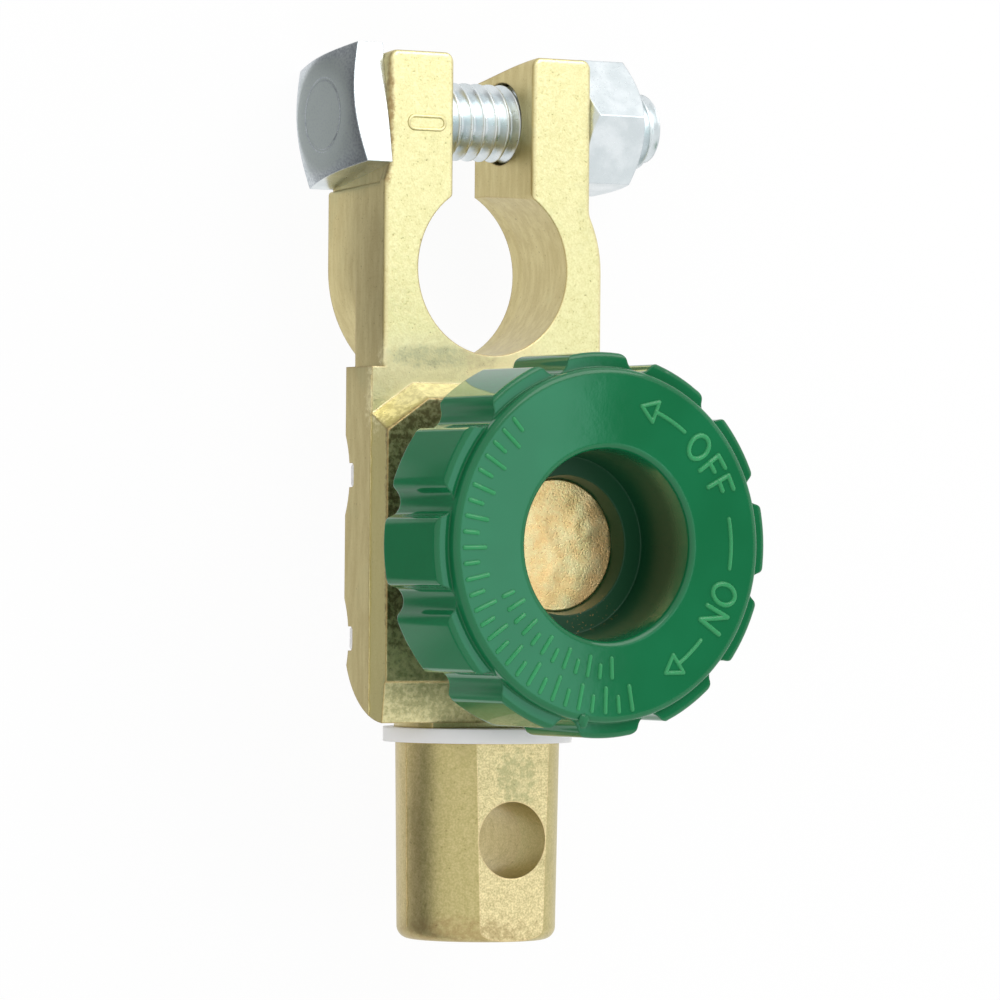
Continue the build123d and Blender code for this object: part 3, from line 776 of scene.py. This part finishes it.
class Workpiece:
    """A mesh in millimetres on its way to one object of the scene."""

    def __init__(self) -> None:
        """Start with an empty mesh."""
        self.mesh = bmesh.new()

    def spin(
        self,
        points: Sequence[Point],
        centre: Point,
        axis: Point,
        steps: int,
        turns: int = 1,
        pitch: float = 0.0,
    ) -> None:
        """Turn a line about an axis, into a solid of revolution or along a thread's helix.

        Args:
            points: The line's corners, which start and end on the axis of a solid.
            centre: A point on the axis.
            axis: Direction of the axis.
            steps: Facets in one turn.
            turns: Number of turns.
            pitch: Travel in one turn, where 0 closes the solid.
        """
        corners = [self.mesh.verts.new(point) for point in points]
        edges = [self.mesh.edges.new(pair) for pair in zip(corners, corners[1:])]
        bmesh.ops.spin(
            self.mesh,
            geom=corners + edges,
            cent=centre,
            axis=axis,
            dvec=Vector(axis) * (pitch / steps),
            angle=math.tau * turns,
            steps=steps * turns,
            use_merge=pitch == 0,
        )

    def cut(self, point: Point, normal: Point) -> None:
        """Cut away what lies beyond a plane and close the cut.

        Args:
            point: A point on the plane.
            normal: Direction of the side that goes.
        """
        mesh = self.mesh
        cut = bmesh.ops.bisect_plane(
            mesh,
            geom=mesh.verts[:] + mesh.edges[:] + mesh.faces[:],
            dist=ON_PLANE,
            plane_co=point,
            plane_no=normal,
            clear_outer=True,
        )
        rim = [part for part in cut["geom_cut"] if isinstance(part, bmesh.types.BMEdge)]
        bmesh.ops.holes_fill(mesh, edges=[edge for edge in rim if edge.is_boundary], sides=0)

    def merge(self) -> None:
        """Join corners that lie on each other."""
        bmesh.ops.remove_doubles(self.mesh, verts=self.mesh.verts[:], dist=DOUBLES)

    def ridge(self, path: Sequence[Vector], radii: Sequence[float], closed: bool = False) -> None:
        """Sweep a round bead along a path.

        Args:
            path: Points of the bead's middle.
            radii: The bead's radius at each point.
            closed: True for a loop, otherwise both ends are domed.
        """
        count = len(path)
        stations: list[Station] = []
        for index, (point, radius) in enumerate(zip(path, radii)):
            before = path[index - 1] if index or closed else point
            after = path[(index + 1) % count] if index + 1 < count or closed else point
            stations.append((point, (after - before).normalized(), radius))
        if not closed:
            stations = self.domed(stations)
        rings = [self.ring(*station) for station in stations]
        following = rings[1:] + rings[:1] if closed else rings[1:]
        for first, second in zip(rings, following):
            bmesh.ops.bridge_loops(self.mesh, edges=first + second)
        if not closed:
            bmesh.ops.contextual_create(self.mesh, geom=rings[0])
            bmesh.ops.contextual_create(self.mesh, geom=rings[-1])

    def domed(self, stations: list[Station]) -> list[Station]:
        """Add the smaller rings that round both ends of a bead."""
        ends: list[list[Station]] = []
        for sign, (point, along, radius) in ((-1, stations[0]), (1, stations[-1])):
            rings: list[Station] = []
            for slope in map(math.radians, DOME_SLOPES):
                middle = point + along * (sign * radius * math.sin(slope))
                rings.append((middle, along, radius * math.cos(slope)))
            ends.append(rings)
        return ends[0] + stations + ends[1][::-1]

    def ring(self, point: Vector, along: Vector, radius: float) -> list[bmesh.types.BMEdge]:
        """Circle of edges square to a direction."""
        turn = Matrix.Translation(point) @ along.to_track_quat("Z", "Y").to_matrix().to_4x4()
        made = bmesh.ops.create_circle(
            self.mesh, cap_ends=False, segments=BEAD_SIDES, radius=radius, matrix=turn
        )
        return list(dict.fromkeys(edge for corner in made["verts"] for edge in corner.link_edges))

    def rod(
        self,
        thread: "Thread",
        centre: Point,
        axis: Point,
        span: Span,
        limit: Callable[[float], float],
    ) -> None:
        """Add a threaded rod.

        Args:
            thread: The thread's outline.
            centre: Point on the axis where the travel is 0.
            axis: Direction of the axis.
            span: Travel along the axis at both ends.
            limit: Largest radius at each travel.
        """
        part = Workpiece()
        origin, along, side = Vector(centre), Vector(axis), Vector((0, 1, 0))
        turns = math.ceil((span[1] - span[0]) / thread.pitch) + 2
        first = span[0] - thread.pitch
        points = [origin + along * (first + travel) + side * radius for travel, radius in thread.profile()]
        part.spin(points, centre, axis, thread.steps, turns, thread.pitch)
        part.merge()
        part.cut(origin + along * span[0], -along)
        part.cut(origin + along * span[1], along)
        for corner in part.mesh.verts:
            offset = corner.co - origin
            travel = offset.dot(along)
            across = offset - along * travel
            excess = across.length - limit(travel)
            if excess > 0:
                corner.co -= across.normalized() * excess
        copy = bpy.data.meshes.new("rod")
        part.mesh.to_mesh(copy)
        part.mesh.free()
        self.mesh.from_mesh(copy)
        bpy.data.meshes.remove(copy)

    def finish(
        self, name: str, finishes: Finishes, coat: Coat, body: Body, sharp: float = 60.0
    ) -> bpy.types.Object:
        """Make the object.

        Args:
            name: Name of the piece.
            finishes: Materials of the object.
            coat: Its finish.
            body: Body that it moves with.
            sharp: Angle in degrees past which an edge stays sharp.

        Returns:
            The object.
        """
        mesh = self.mesh
        self.merge()
        bmesh.ops.recalc_face_normals(mesh, faces=mesh.faces[:])
        bmesh.ops.scale(mesh, vec=(MILLIMETRE, MILLIMETRE, MILLIMETRE), verts=mesh.verts[:])
        for face in mesh.faces:
            face.smooth = True
        data = bpy.data.meshes.new(name)
        mesh.to_mesh(data)
        mesh.free()
        data.set_sharp_from_angle(angle=math.radians(sharp))
        data.materials.append(finishes.made[coat])
        piece = bpy.data.objects.new(name, data)
        bpy.context.scene.collection.objects.link(piece)
        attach(piece, body.value)
        LOG.info("made %s with %d faces", name, len(data.polygons))
        return piece


@dataclass(frozen=True)
class Thread:
    """Outline of a sixty degree thread."""

    crest: float
    pitch: float
    steps: int = 48
    depth_share: float = 0.6134
    flank_angle: float = 30.0
    flat_share: float = 0.125

    @property
    def depth(self) -> float:
        """Height of the ridge."""
        return self.depth_share * self.pitch

    def profile(self) -> list[tuple[float, float]]:
        """Travel and radius along one pitch."""
        root = self.crest - self.depth
        flank = self.depth * math.tan(math.radians(self.flank_angle))
        flat = self.pitch * self.flat_share
        valley = self.pitch - 2 * flank - flat
        return [
            (0.0, root),
            (valley, root),
            (valley + flank, self.crest),
            (valley + flank + flat, self.crest),
            (self.pitch, root),
        ]


# Sub-assemblies


def waver(y: float, rate: float, row: Span) -> float:
    """Smooth noise from -1 to 1 along Y, read in a row of its own."""
    return noise.noise(Vector((y * rate, *row)))


@dataclass
class Casting:
    """Split collar, neck and housing with the polarity sign and the parting line."""

    wall_x: float = 13.8
    parting_z: float = 11.55
    parting_top_y: float = -11.0
    parting_end_y: float = -44.6
    parting_radius: float = 0.11
    parting_steps: int = 60
    parting_rate: float = 0.9
    parting_row: Span = (7.0, 3.0)
    parting_sway: float = 0.12
    parting_swell: float = 0.5
    flash_y: Span = (-34.6, -29.8)
    flash_radius: float = 0.24
    flash_rate: float = 3.1
    flash_row: Span = (2.0, 5.0)
    flash_least: float = 0.45
    flash_ragged: float = 1.1
    sign_centre: Span = (-7.75, 14.4)
    sign_length: float = 4.1
    sign_width: float = 1.3
    sign_line: float = 0.19
    sign_steps: int = 12
    front_z: float = 11.7

    def build(self, finishes: Finishes) -> None:
        """Dress the casting and add its sign and parting line."""
        finishes.dress("clamp_casting", Coat.CASTING)
        self.sign(finishes)
        self.parting(finishes)

    def sign(self, finishes: Finishes) -> None:
        """Raised outline of a minus sign on the left ear."""
        radius = self.sign_width / 2
        reach = self.sign_length / 2 - radius
        path = []
        for middle, start in ((reach, -90), (-reach, 90)):
            for step in range(self.sign_steps + 1):
                turn = math.radians(start + 180 * step / self.sign_steps)
                x = self.sign_centre[0] + middle + radius * math.cos(turn)
                y = self.sign_centre[1] + radius * math.sin(turn)
                path.append(Vector((x, y, self.front_z - OVERLAP)))
        work = Workpiece()
        work.ridge(path, [self.sign_line] * len(path), closed=True)
        work.finish("polarity_sign", finishes, Coat.CASTING, Body.CLAMP)

    def parting(self, finishes: Finishes) -> None:
        """Thin uneven seam along both walls of the housing, with flash on the left one."""
        work = Workpiece()
        for side in (-1, 1):
            path, radii = [], []
            row = (side * self.parting_row[0], self.parting_row[1])
            for step in range(self.parting_steps + 1):
                share = step / self.parting_steps
                y = self.parting_top_y + (self.parting_end_y - self.parting_top_y) * share
                sway = waver(y, self.parting_rate, row)
                radius = self.parting_radius * (1 + self.parting_swell * sway)
                if side < 0 and self.flash_y[0] < y < self.flash_y[1]:
                    ragged = abs(waver(y, self.flash_rate, self.flash_row))
                    radius = self.flash_radius * (self.flash_least + self.flash_ragged * ragged)
                path.append(Vector((side * self.wall_x, y, self.parting_z + self.parting_sway * sway)))
                radii.append(radius)
            work.ridge(path, radii)
        work.finish("parting_line", finishes, Coat.CASTING, Body.CLAMP)


@dataclass
class ClampBolt:
    """Square-headed bolt with its rolled thread, and the nut."""

    axis_y: float = 15.2
    axis_z: float = 5.1
    thread: Thread = Thread(3.95, 25.4 / 18)
    ear_x: float = -11.95
    head_height: float = 4.05
    head_width: float = 12.2
    head_turn: float = 10.5
    head_flat: float = 5.2
    head_bevel: float = 20.0
    head_steps: int = 128
    ring_radius: float = 3.6
    ring_width: float = 0.4
    ring_depth: float = 0.08
    end_x: float = 21.75
    end_chamfer: float = 0.7

    def build(self, finishes: Finishes) -> None:
        """Dress the nut, and make the bolt that stands for its plain solid."""
        finishes.dress("clamp_nut", Coat.FASTENER)
        work = Workpiece()
        self.head(work)
        span = (self.ear_x - OVERLAP, self.end_x)
        work.rod(self.thread, (0, self.axis_y, self.axis_z), (1, 0, 0), span, self.limit)
        bolt = work.finish("bolt_threaded", finishes, Coat.FASTENER, Body.BOLT, THREAD_SHARP)
        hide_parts("clamp_bolt")

    def limit(self, travel: float) -> float:
        """Largest radius of the shank, which falls along the end's chamfer."""
        return self.thread.crest - max(travel - self.end_x + self.end_chamfer, 0)

    def at(self, x: float, radius: float) -> Point:
        """Point beside the bolt's axis."""
        return (x, self.axis_y + radius, self.axis_z)

    def head(self, work: Workpiece) -> None:
        """Square head: a bevelled disc with a stamped ring, cut on four sides."""
        face = self.ear_x - self.head_height
        reach = self.head_width * math.sqrt(2) / 2 + OVERLAP
        drop = (reach - self.head_flat) * math.tan(math.radians(self.head_bevel))
        ring = self.ring_width / 2
        line = [
            self.at(face, 0),
            self.at(face, self.ring_radius - ring),
            self.at(face + self.ring_depth, self.ring_radius - ring / 2),
            self.at(face + self.ring_depth, self.ring_radius + ring / 2),
            self.at(face, self.ring_radius + ring),
            self.at(face, self.head_flat),
            self.at(face + drop, reach),
            self.at(self.ear_x, reach),
            self.at(self.ear_x, 0),
        ]
        work.spin(line, (0, self.axis_y, self.axis_z), (1, 0, 0), self.head_steps)
        work.merge()
        for quarter in range(4):
            turn = math.radians(90 * quarter - self.head_turn)
            normal = (0.0, math.cos(turn), math.sin(turn))
            half = self.head_width / 2
            point = (0.0, self.axis_y + half * normal[1], self.axis_z + half * normal[2])
            work.cut(point, normal)


@dataclass
class SwitchScrew:
    """Contact screw with its hammered head, its thread and its retaining ring."""

    axis_y: float = KNOB_AXIS_Y
    thread: Thread = Thread(4.95, 1.5)
    tip_z: float = 9.6
    groove_from: float = 10.0
    groove_to: float = 11.0
    groove_radius: float = 4.2
    tip_chamfer: float = 0.8
    disc_z: float = 24.2
    disc_height: float = 1.6
    disc_radius: float = 6.55
    disc_chamfer: float = 0.15
    disc_rings: int = 22
    disc_steps: int = 72
    dent_depth: float = 0.07
    dent_size: float = 2.8
    dent_layer: float = 1.7
    dent_gain: float = 1.6
    fine_gain: float = 0.25
    fine_rate: float = 2.7

    def build(self, finishes: Finishes) -> None:
        """Make the screw, which stands for its plain solid, and dress the ring."""
        finishes.dress("retaining_ring", Coat.RING)
        work = Workpiece()
        self.head(work)
        span = (self.tip_z, self.disc_z - self.disc_height)
        work.rod(self.thread, (0, self.axis_y, 0), (0, 0, 1), span, self.limit)
        screw = work.finish("contact_screw_turned", finishes, Coat.SCREW, Body.KNOB, THREAD_SHARP)
        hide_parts("contact_screw")

    def limit(self, travel: float) -> float:
        """Largest radius of the shank, smaller at the tip's chamfer and in the ring's groove."""
        if self.groove_from <= travel <= self.groove_to:
            return self.groove_radius
        return self.thread.crest - max(self.tip_z + self.tip_chamfer - travel, 0)

    def head(self, work: Workpiece) -> None:
        """Disc with a hammered face."""
        rim = self.disc_radius - self.disc_chamfer
        count = self.disc_rings
        line = [(0.0, self.axis_y + rim * step / count, self.disc_z) for step in range(count + 1)]
        under = self.disc_z - self.disc_height
        side = self.axis_y + self.disc_radius
        line += [(0.0, side, self.disc_z - self.disc_chamfer), (0.0, side, under), (0.0, self.axis_y, under)]
        work.spin(line, (0, self.axis_y, 0), (0, 0, 1), self.disc_steps)
        work.merge()
        for corner in work.mesh.verts:
            if abs(corner.co.z - self.disc_z) < DOUBLES:
                spot = Vector((corner.co.x, corner.co.y, self.dent_layer)) / self.dent_size
                fine = self.fine_gain * abs(noise.noise(spot * self.fine_rate))
                dent = abs(noise.noise(spot)) * self.dent_gain + fine
                corner.co.z -= self.dent_depth * min(dent, 1.0)


class Glyph(Enum):
    """Letters of the marks, each as strokes in a box one unit high, and the O as an oval."""

    O = "oval"
    F = (((0.0, 0.0), (0.0, 1.0)), ((0.0, 1.0), (0.5, 1.0)), ((0.0, 0.52), (0.4, 0.52)))
    N = (((0.0, 0.0), (0.0, 1.0)), ((0.0, 1.0), (0.68, 0.0)), ((0.68, 0.0), (0.68, 1.0)))


@dataclass
class Knob:
    """Lobed hand knob with its raised marks, whose places are angles and radii about its axis."""

    axis_y: float = KNOB_AXIS_Y
    face_z: float = 34.4
    line: float = 0.27
    sink: float = 0.06
    text_foot: float = 12.75
    text_height: float = 2.6
    mark_radius: float = 14.05
    letters: tuple[tuple[Glyph, float], ...] = (
        (Glyph.O, 47.5),
        (Glyph.F, 35.5),
        (Glyph.F, 27.0),
        (Glyph.O, 344.5),
        (Glyph.N, 333.0),
    )
    oval_width: float = 2.0
    oval_steps: int = 28
    dash: Span = (371.0, 351.0)
    off_arrow: Span = (52.5, 75.0)
    on_arrow: Span = (319.0, 298.0)
    arrow_head: float = 1.7
    arrow_half: float = 1.05
    arc_share: float = 0.85
    arc_steps: int = 8
    outer_scale: tuple[float, float, int] = (280.0, 132.0, 28)
    inner_scale: tuple[float, float, int] = (272.0, 203.0, 12)
    outer_span: Span = (13.9, 16.2)
    inner_span: Span = (11.0, 12.85)
    tick_share: float = 0.9
    short_tick: float = 0.38
    gate_turn: float = 261.0
    gate_radius: float = 17.2
    gate_size: float = 0.55
    gate_stretch: Point = (1, 1.3, 0.45)
    gate_rate: float = 2.3
    gate_ragged: float = 0.45

    def build(self, finishes: Finishes) -> None:
        """Dress the knob and add its marks."""
        finishes.dress("knob", Coat.MOULDING)
        work = Workpiece()
        for glyph, turn in self.letters:
            self.letter(work, glyph, turn)
        self.arc(work, self.dash)
        self.arrow(work, self.off_arrow)
        self.arrow(work, self.on_arrow)
        # The letters and arrows take the lighter green of painted highlight.
        work.finish("knob_words", finishes, Coat.MARKS_PAINTED_HIGHLIGHT, Body.KNOB)
        work = Workpiece()
        self.scale(work, self.outer_scale, self.outer_span)
        self.scale(work, self.inner_scale, self.inner_span)
        # The scale's ticks take the lighter green of painted highlight too.
        work.finish("knob_scale", finishes, Coat.MARKS_PAINTED_HIGHLIGHT, Body.KNOB)
        self.gate(finishes)

    def at(self, turn: float, radius: float) -> Vector:
        """Point of a bead's middle on the face."""
        angle = math.radians(turn)
        x, y = radius * math.cos(angle), self.axis_y + radius * math.sin(angle)
        return Vector((x, y, self.face_z - self.sink))

    def written(self, turn: float, across: float, up: float) -> Vector:
        """Point of a letter, from its left foot, on the circle of text that reads clockwise."""
        middle = self.text_foot + self.text_height / 2
        return self.at(turn - math.degrees(across / middle), self.text_foot + up)

    def letter(self, work: Workpiece, glyph: Glyph, turn: float) -> None:
        """Write a letter from its own angle."""
        if glyph is Glyph.O:
            half, rise = self.oval_width / 2, self.text_height / 2
            path = []
            for step in range(self.oval_steps):
                angle = math.tau * step / self.oval_steps
                across, up = half + half * math.cos(angle), rise + rise * math.sin(angle)
                path.append(self.written(turn, across, up))
            work.ridge(path, [self.line] * len(path), closed=True)
            return
        size = self.text_height
        for stroke in glyph.value:
            ends = [self.written(turn, across * size, up * size) for across, up in stroke]
            work.ridge(ends, [self.line] * 2)

    def arc(self, work: Workpiece, span: Span) -> None:
        """Line along the circle of the marks."""
        count = self.arc_steps
        turns = [span[0] + (span[1] - span[0]) * step / count for step in range(count + 1)]
        path = [self.at(turn, self.mark_radius) for turn in turns]
        work.ridge(path, [self.line * self.arc_share] * len(path))

    def arrow(self, work: Workpiece, span: Span) -> None:
        """Arrow along the circle, with its head at the second angle."""
        back = span[1] - math.copysign(math.degrees(self.arrow_head / self.mark_radius), span[1] - span[0])
        self.arc(work, (span[0], back))
        tip = self.at(span[1], self.mark_radius)
        barbs = [self.at(back, self.mark_radius + side * self.arrow_half) for side in (-1, 1)]
        for first, last in ((tip, barbs[0]), (tip, barbs[1]), (barbs[0], barbs[1])):
            work.ridge([first, last], [self.line * self.arc_share] * 2)

    def scale(self, work: Workpiece, turns: tuple[float, float, int], span: Span) -> None:
        """Arc of short radial ticks, long and short by turns."""
        first, last, count = turns
        for step in range(count):
            turn = first + (last - first) * step / (count - 1)
            foot = span[0] + (span[1] - span[0]) * (step % 2) * self.short_tick
            work.ridge([self.at(turn, foot), self.at(turn, span[1])], [self.line * self.tick_share] * 2)

    def gate(self, finishes: Finishes) -> None:
        """Torn stub that the moulding gate left at the face's rim."""
        work = Workpiece()
        middle = self.at(self.gate_turn, self.gate_radius)
        shape = Matrix.Translation(middle) @ Matrix.Diagonal((*self.gate_stretch, 1))
        bmesh.ops.create_icosphere(work.mesh, subdivisions=3, radius=self.gate_size, matrix=shape)
        for corner in work.mesh.verts:
            ragged = noise.noise(corner.co * self.gate_rate)
            corner.co += (corner.co - middle) * self.gate_ragged * ragged
        work.finish("knob_gate_stub", finishes, Coat.MOULDING, Body.KNOB)


@dataclass
class CablePost:
    """Barrel for the cable's clamp, with its seam, and the nylon that insulates it."""

    axis_z: float = 9.3
    top_y: float = -47.6
    end_y: float = -65.8
    top_radius: float = 8.24
    end_radius: float = 7.99
    seam_radius: float = 0.1
    seam_steps: int = 30
    seam_row: Span = (4.0, 9.0)
    seam_sink: float = 0.02
    seam_sway: float = 0.08
    seam_swell: float = 0.6
    insulation: tuple[str, ...] = (
        "insulating_washer",
        "insulating_sleeve",
        "insulating_cradle",
        "rear_cover",
    )

    def build(self, finishes: Finishes) -> None:
        """Dress the post and its insulation, and add the seam."""
        finishes.dress("cable_post", Coat.BARREL)
        for node in self.insulation:
            finishes.dress(node, Coat.INSULATION)
        work = Workpiece()
        for side in (-1, 1):
            path, radii = [], []
            row = (side * self.seam_row[0], self.seam_row[1])
            for step in range(self.seam_steps + 1):
                share = step / self.seam_steps
                y = self.top_y + (self.end_y - self.top_y) * share
                radius = self.top_radius + (self.end_radius - self.top_radius) * share
                sway = waver(y, 1.0, row)
                x = side * (radius - self.seam_sink)
                path.append(Vector((x, y, self.axis_z + self.seam_sway * sway)))
                radii.append(self.seam_radius * (1 + self.seam_swell * sway))
            work.ridge(path, radii)
        work.finish("barrel_seam", finishes, Coat.BARREL, Body.CLAMP)


# Studio


@dataclass(frozen=True)
class Lamp:
    """Square soft lamp that stands towards a direction, with its sizes in metres and power in watts."""

    name: str
    towards: Point
    away: float
    size: float
    power: float
    mirrored: bool = False

    def build(self, middle: Vector) -> None:
        """Make the lamp.

        Args:
            middle: Point that it lights.
        """
        data = bpy.data.lights.new(self.name, "AREA")
        data.shape = "SQUARE"
        data.size = self.size
        data.energy = self.power
        lamp = bpy.data.objects.new(self.name, data)
        lamp.visible_glossy = self.mirrored
        direction = Vector(self.towards).normalized()
        lamp.location = middle + direction * self.away
        lamp.rotation_euler = direction.to_track_quat("Z", "Y").to_euler()
        bpy.context.scene.collection.objects.link(lamp)


@dataclass
class Studio:
    """Pale floor, cards, soft lamps and the camera of the photograph.

    The floor and the cards have their middles and sizes in metres. The spans and bands of the cards'
    tones are places along X or Y in millimetres, and a band's third number is its gain.
    """

    turn: float = 30.45
    dip: float = -0.66
    roll: float = 0.46
    distance: float = 600.0
    target: Point = (2.03, -23.1, 10.0)
    focal: float = 5955.54
    picture: float = 1000.0
    sensor: float = 36.0
    clip: Span = (0.05, 20.0)
    fill: float = 0.50
    floor_size: Span = (6.0, 6.0)
    floor_colour: Colour = (0.92, 0.92, 0.92, 1.0)
    floor_glow: float = 0.95
    side_middle: Span = (-0.0965, -0.025)
    side_size: Span = (0.16, 0.24)
    side_lift: float = 0.0003
    side_level: float = 0.29
    side_bands: tuple[tuple[float, float, float], ...] = (
        (-56, -48, 0.38),
        (-12, -6, -0.32),
        (5, 9, 0.20),
        (19, 23, -0.20),
    )
    side_far: Span = (-27, -33)
    side_far_level: float = 0.16
    high_middle: Point = (0.52, -0.024, 0.887)
    high_size: Span = (0.26, 0.25)
    high_axis_y: float = -24.0
    high_near: Span = (120, 60)
    high_lit: tuple[Span, Span] = ((400, 440), (522, 514))
    high_dark: tuple[Span, Span] = ((514, 522), (640, 600))
    high_dark_share: float = 0.85
    high_tint: tuple[float, float, float] = (0.6, 1.75, 1.5)
    lamps: tuple[Lamp, ...] = (
        Lamp("key_lamp", (0.30, 0.70, 0.70), 0.42, 0.32, 0.84, mirrored=True),
        Lamp("right_lamp", (0.95, -0.35, 0.55), 0.9, 0.5, 1.6),
        Lamp("left_lamp", (-0.85, 0.1, 0.75), 1.0, 0.6, 1.0),
        Lamp("low_lamp", (-0.20, -0.75, 0.62), 0.8, 0.5, 1.4),
    )

    def build(self) -> None:
        """Make the floor, the cards, the world, the lamps and the camera."""
        self.floor()
        self.side_card()
        self.high_card()
        self.world()
        for lamp in self.lamps:
            lamp.build(Vector(self.target) * MILLIMETRE)
        self.camera()

    def seen(self, graph: Graph) -> Term:
        """1 for rays from the camera and through gloss or glass, 0 for the light itself."""
        path = graph.add("ShaderNodeLightPath")
        names = ("Is Camera Ray", "Is Glossy Ray", "Is Transmission Ray")
        camera, glossy, through = (Term(graph, path.outputs[name]) for name in names)
        return camera.most(glossy).most(through)

    def sheet(
        self, name: str, middle: Point, size: Span, material: bpy.types.Material
    ) -> bpy.types.Object:
        """Make a level sheet that belongs to the studio.

        Args:
            name: Name of the sheet.
            middle: Its middle in metres.
            size: Its size along X and Y in metres.
            material: Its material.

        Returns:
            The object.
        """
        work = bmesh.new()
        bmesh.ops.create_grid(work, x_segments=1, y_segments=1, size=0.5)
        bmesh.ops.scale(work, vec=(*size, 1), verts=work.verts[:])
        bmesh.ops.translate(work, vec=middle, verts=work.verts[:])
        data = bpy.data.meshes.new(name)
        work.to_mesh(data)
        work.free()
        data.materials.append(material)
        sheet = bpy.data.objects.new(name, data)
        bpy.context.scene.collection.objects.link(sheet)
        LOG.info("staged %s", name)
        return sheet

    def floor(self) -> None:
        """Floor on which the object lies."""
        material, graph = new_graph("floor_paper")
        sockets = {"Base Color": self.floor_colour, "Roughness": 0.9, "Specular IOR Level": 0.1}
        paper = graph.term("ShaderNodeBsdfPrincipled", sockets=sockets)
        glow = graph.term("ShaderNodeEmission", sockets={"Strength": 1.0})
        share = self.seen(graph) * self.floor_glow
        shader = graph.term("ShaderNodeMixShader", sockets={0: share, 1: paper, 2: glow})
        graph.add("ShaderNodeOutputMaterial", sockets={"Surface": shader})
        self.sheet("floor", (0, 0, CAD_BOX[0].z), self.floor_size, material)

    def side_card(self) -> None:
        """Grey card on the floor at the left, seen only in reflections."""
        material, graph = new_graph("card_grey")
        x, y, _ = graph.parts(graph.place())
        level: Number = self.side_level
        for low, high, gain in self.side_bands:
            level = level + y.rise(low, high) * gain
        level = level + (self.side_far_level - level) * x.rise(*self.side_far)
        middle = (*self.side_middle, CAD_BOX[0].z + self.side_lift)
        self.gloss_card("side_card", middle, self.side_size, material, graph, (level, level, level))

    def high_card(self) -> None:
        """Lamp and flag high on the right, seen only in the reflections of the faces."""
        material, graph = new_graph("card_high")
        x, y, _ = graph.parts(graph.place())
        near = abs(y - self.high_axis_y).rise(*self.high_near)
        lit, dark = (
            x.rise(*start) * x.rise(*end) * near for start, end in (self.high_lit, self.high_dark)
        )
        dark = dark * self.high_dark_share
        level = tuple(1.0 + lit * tint - dark for tint in self.high_tint)
        self.gloss_card("high_card", self.high_middle, self.high_size, material, graph, level)

    def gloss_card(
        self,
        name: str,
        middle: Point,
        size: Span,
        material: bpy.types.Material,
        graph: Graph,
        level: tuple[Term, Term, Term],
    ) -> None:
        """Level card that only reflections see.

        Args:
            name: Name of the card.
            middle: Its middle in metres.
            size: Its size along X and Y in metres.
            material: Its material.
            graph: The material's graph.
            level: Red, green and blue of its light.
        """
        sockets = {
            "Base Color": (0, 0, 0, 1),
            "Roughness": 1.0,
            "Specular IOR Level": 0.0,
            "Emission Color": graph.term("ShaderNodeCombineColor", sockets=dict(enumerate(level))),
            "Emission Strength": 1.0,
        }
        graph.surface(sockets)
        card = self.sheet(name, middle, size, material)
        card.visible_camera = False
        card.visible_diffuse = False
        card.visible_shadow = False
        card.visible_transmission = False

    def world(self) -> None:
        """White surround that lights the object at a lower level."""
        world = bpy.data.worlds.new("white_surround")
        world.use_nodes = True
        bpy.context.scene.world = world
        graph = Graph(world.node_tree)
        soft, white = (
            graph.term("ShaderNodeBackground", sockets={"Color": (1, 1, 1, 1), "Strength": strength})
            for strength in (self.fill, 1.0)
        )
        shader = graph.term("ShaderNodeMixShader", sockets={0: self.seen(graph), 1: soft, 2: white})
        graph.add("ShaderNodeOutputWorld", sockets={"Surface": shader})

    def camera(self) -> None:
        """Camera at the photograph's place and framing."""
        turn, dip, roll = (math.radians(angle) for angle in (self.turn, self.dip, self.roll))
        back = Vector((-math.sin(turn) * math.cos(dip), math.sin(dip), math.cos(turn) * math.cos(dip)))
        level = Vector((0, 1, 0)).cross(back).normalized()
        upright = back.cross(level)
        right = level * math.cos(roll) + upright * math.sin(roll)
        up = upright * math.cos(roll) - level * math.sin(roll)
        data = bpy.data.cameras.new("camera")
        data.sensor_width = self.sensor
        data.lens = self.focal / self.picture * self.sensor
        data.clip_start, data.clip_end = self.clip
        camera = bpy.data.objects.new("camera", data)
        place = (Vector(self.target) + back * self.distance) * MILLIMETRE
        camera.matrix_world = Matrix.Translation(place) @ Matrix((right, up, back)).transposed().to_4x4()
        bpy.context.scene.collection.objects.link(camera)
        bpy.context.scene.camera = camera


def main() -> None:
    """Build every sub-assembly and the studio."""
    logging.basicConfig(level=logging.INFO, format="%(name)s: %(message)s")
    bpy.context.scene.view_settings.view_transform = "Standard"
    finishes = Finishes()
    for assembly in (Casting(), ClampBolt(), SwitchScrew(), Knob(), CablePost()):
        LOG.info("building %s", type(assembly).__name__)
        assembly.build(finishes)
    Studio().build()
    bpy.context.view_layer.update()


if __name__ == "__main__":
    main()
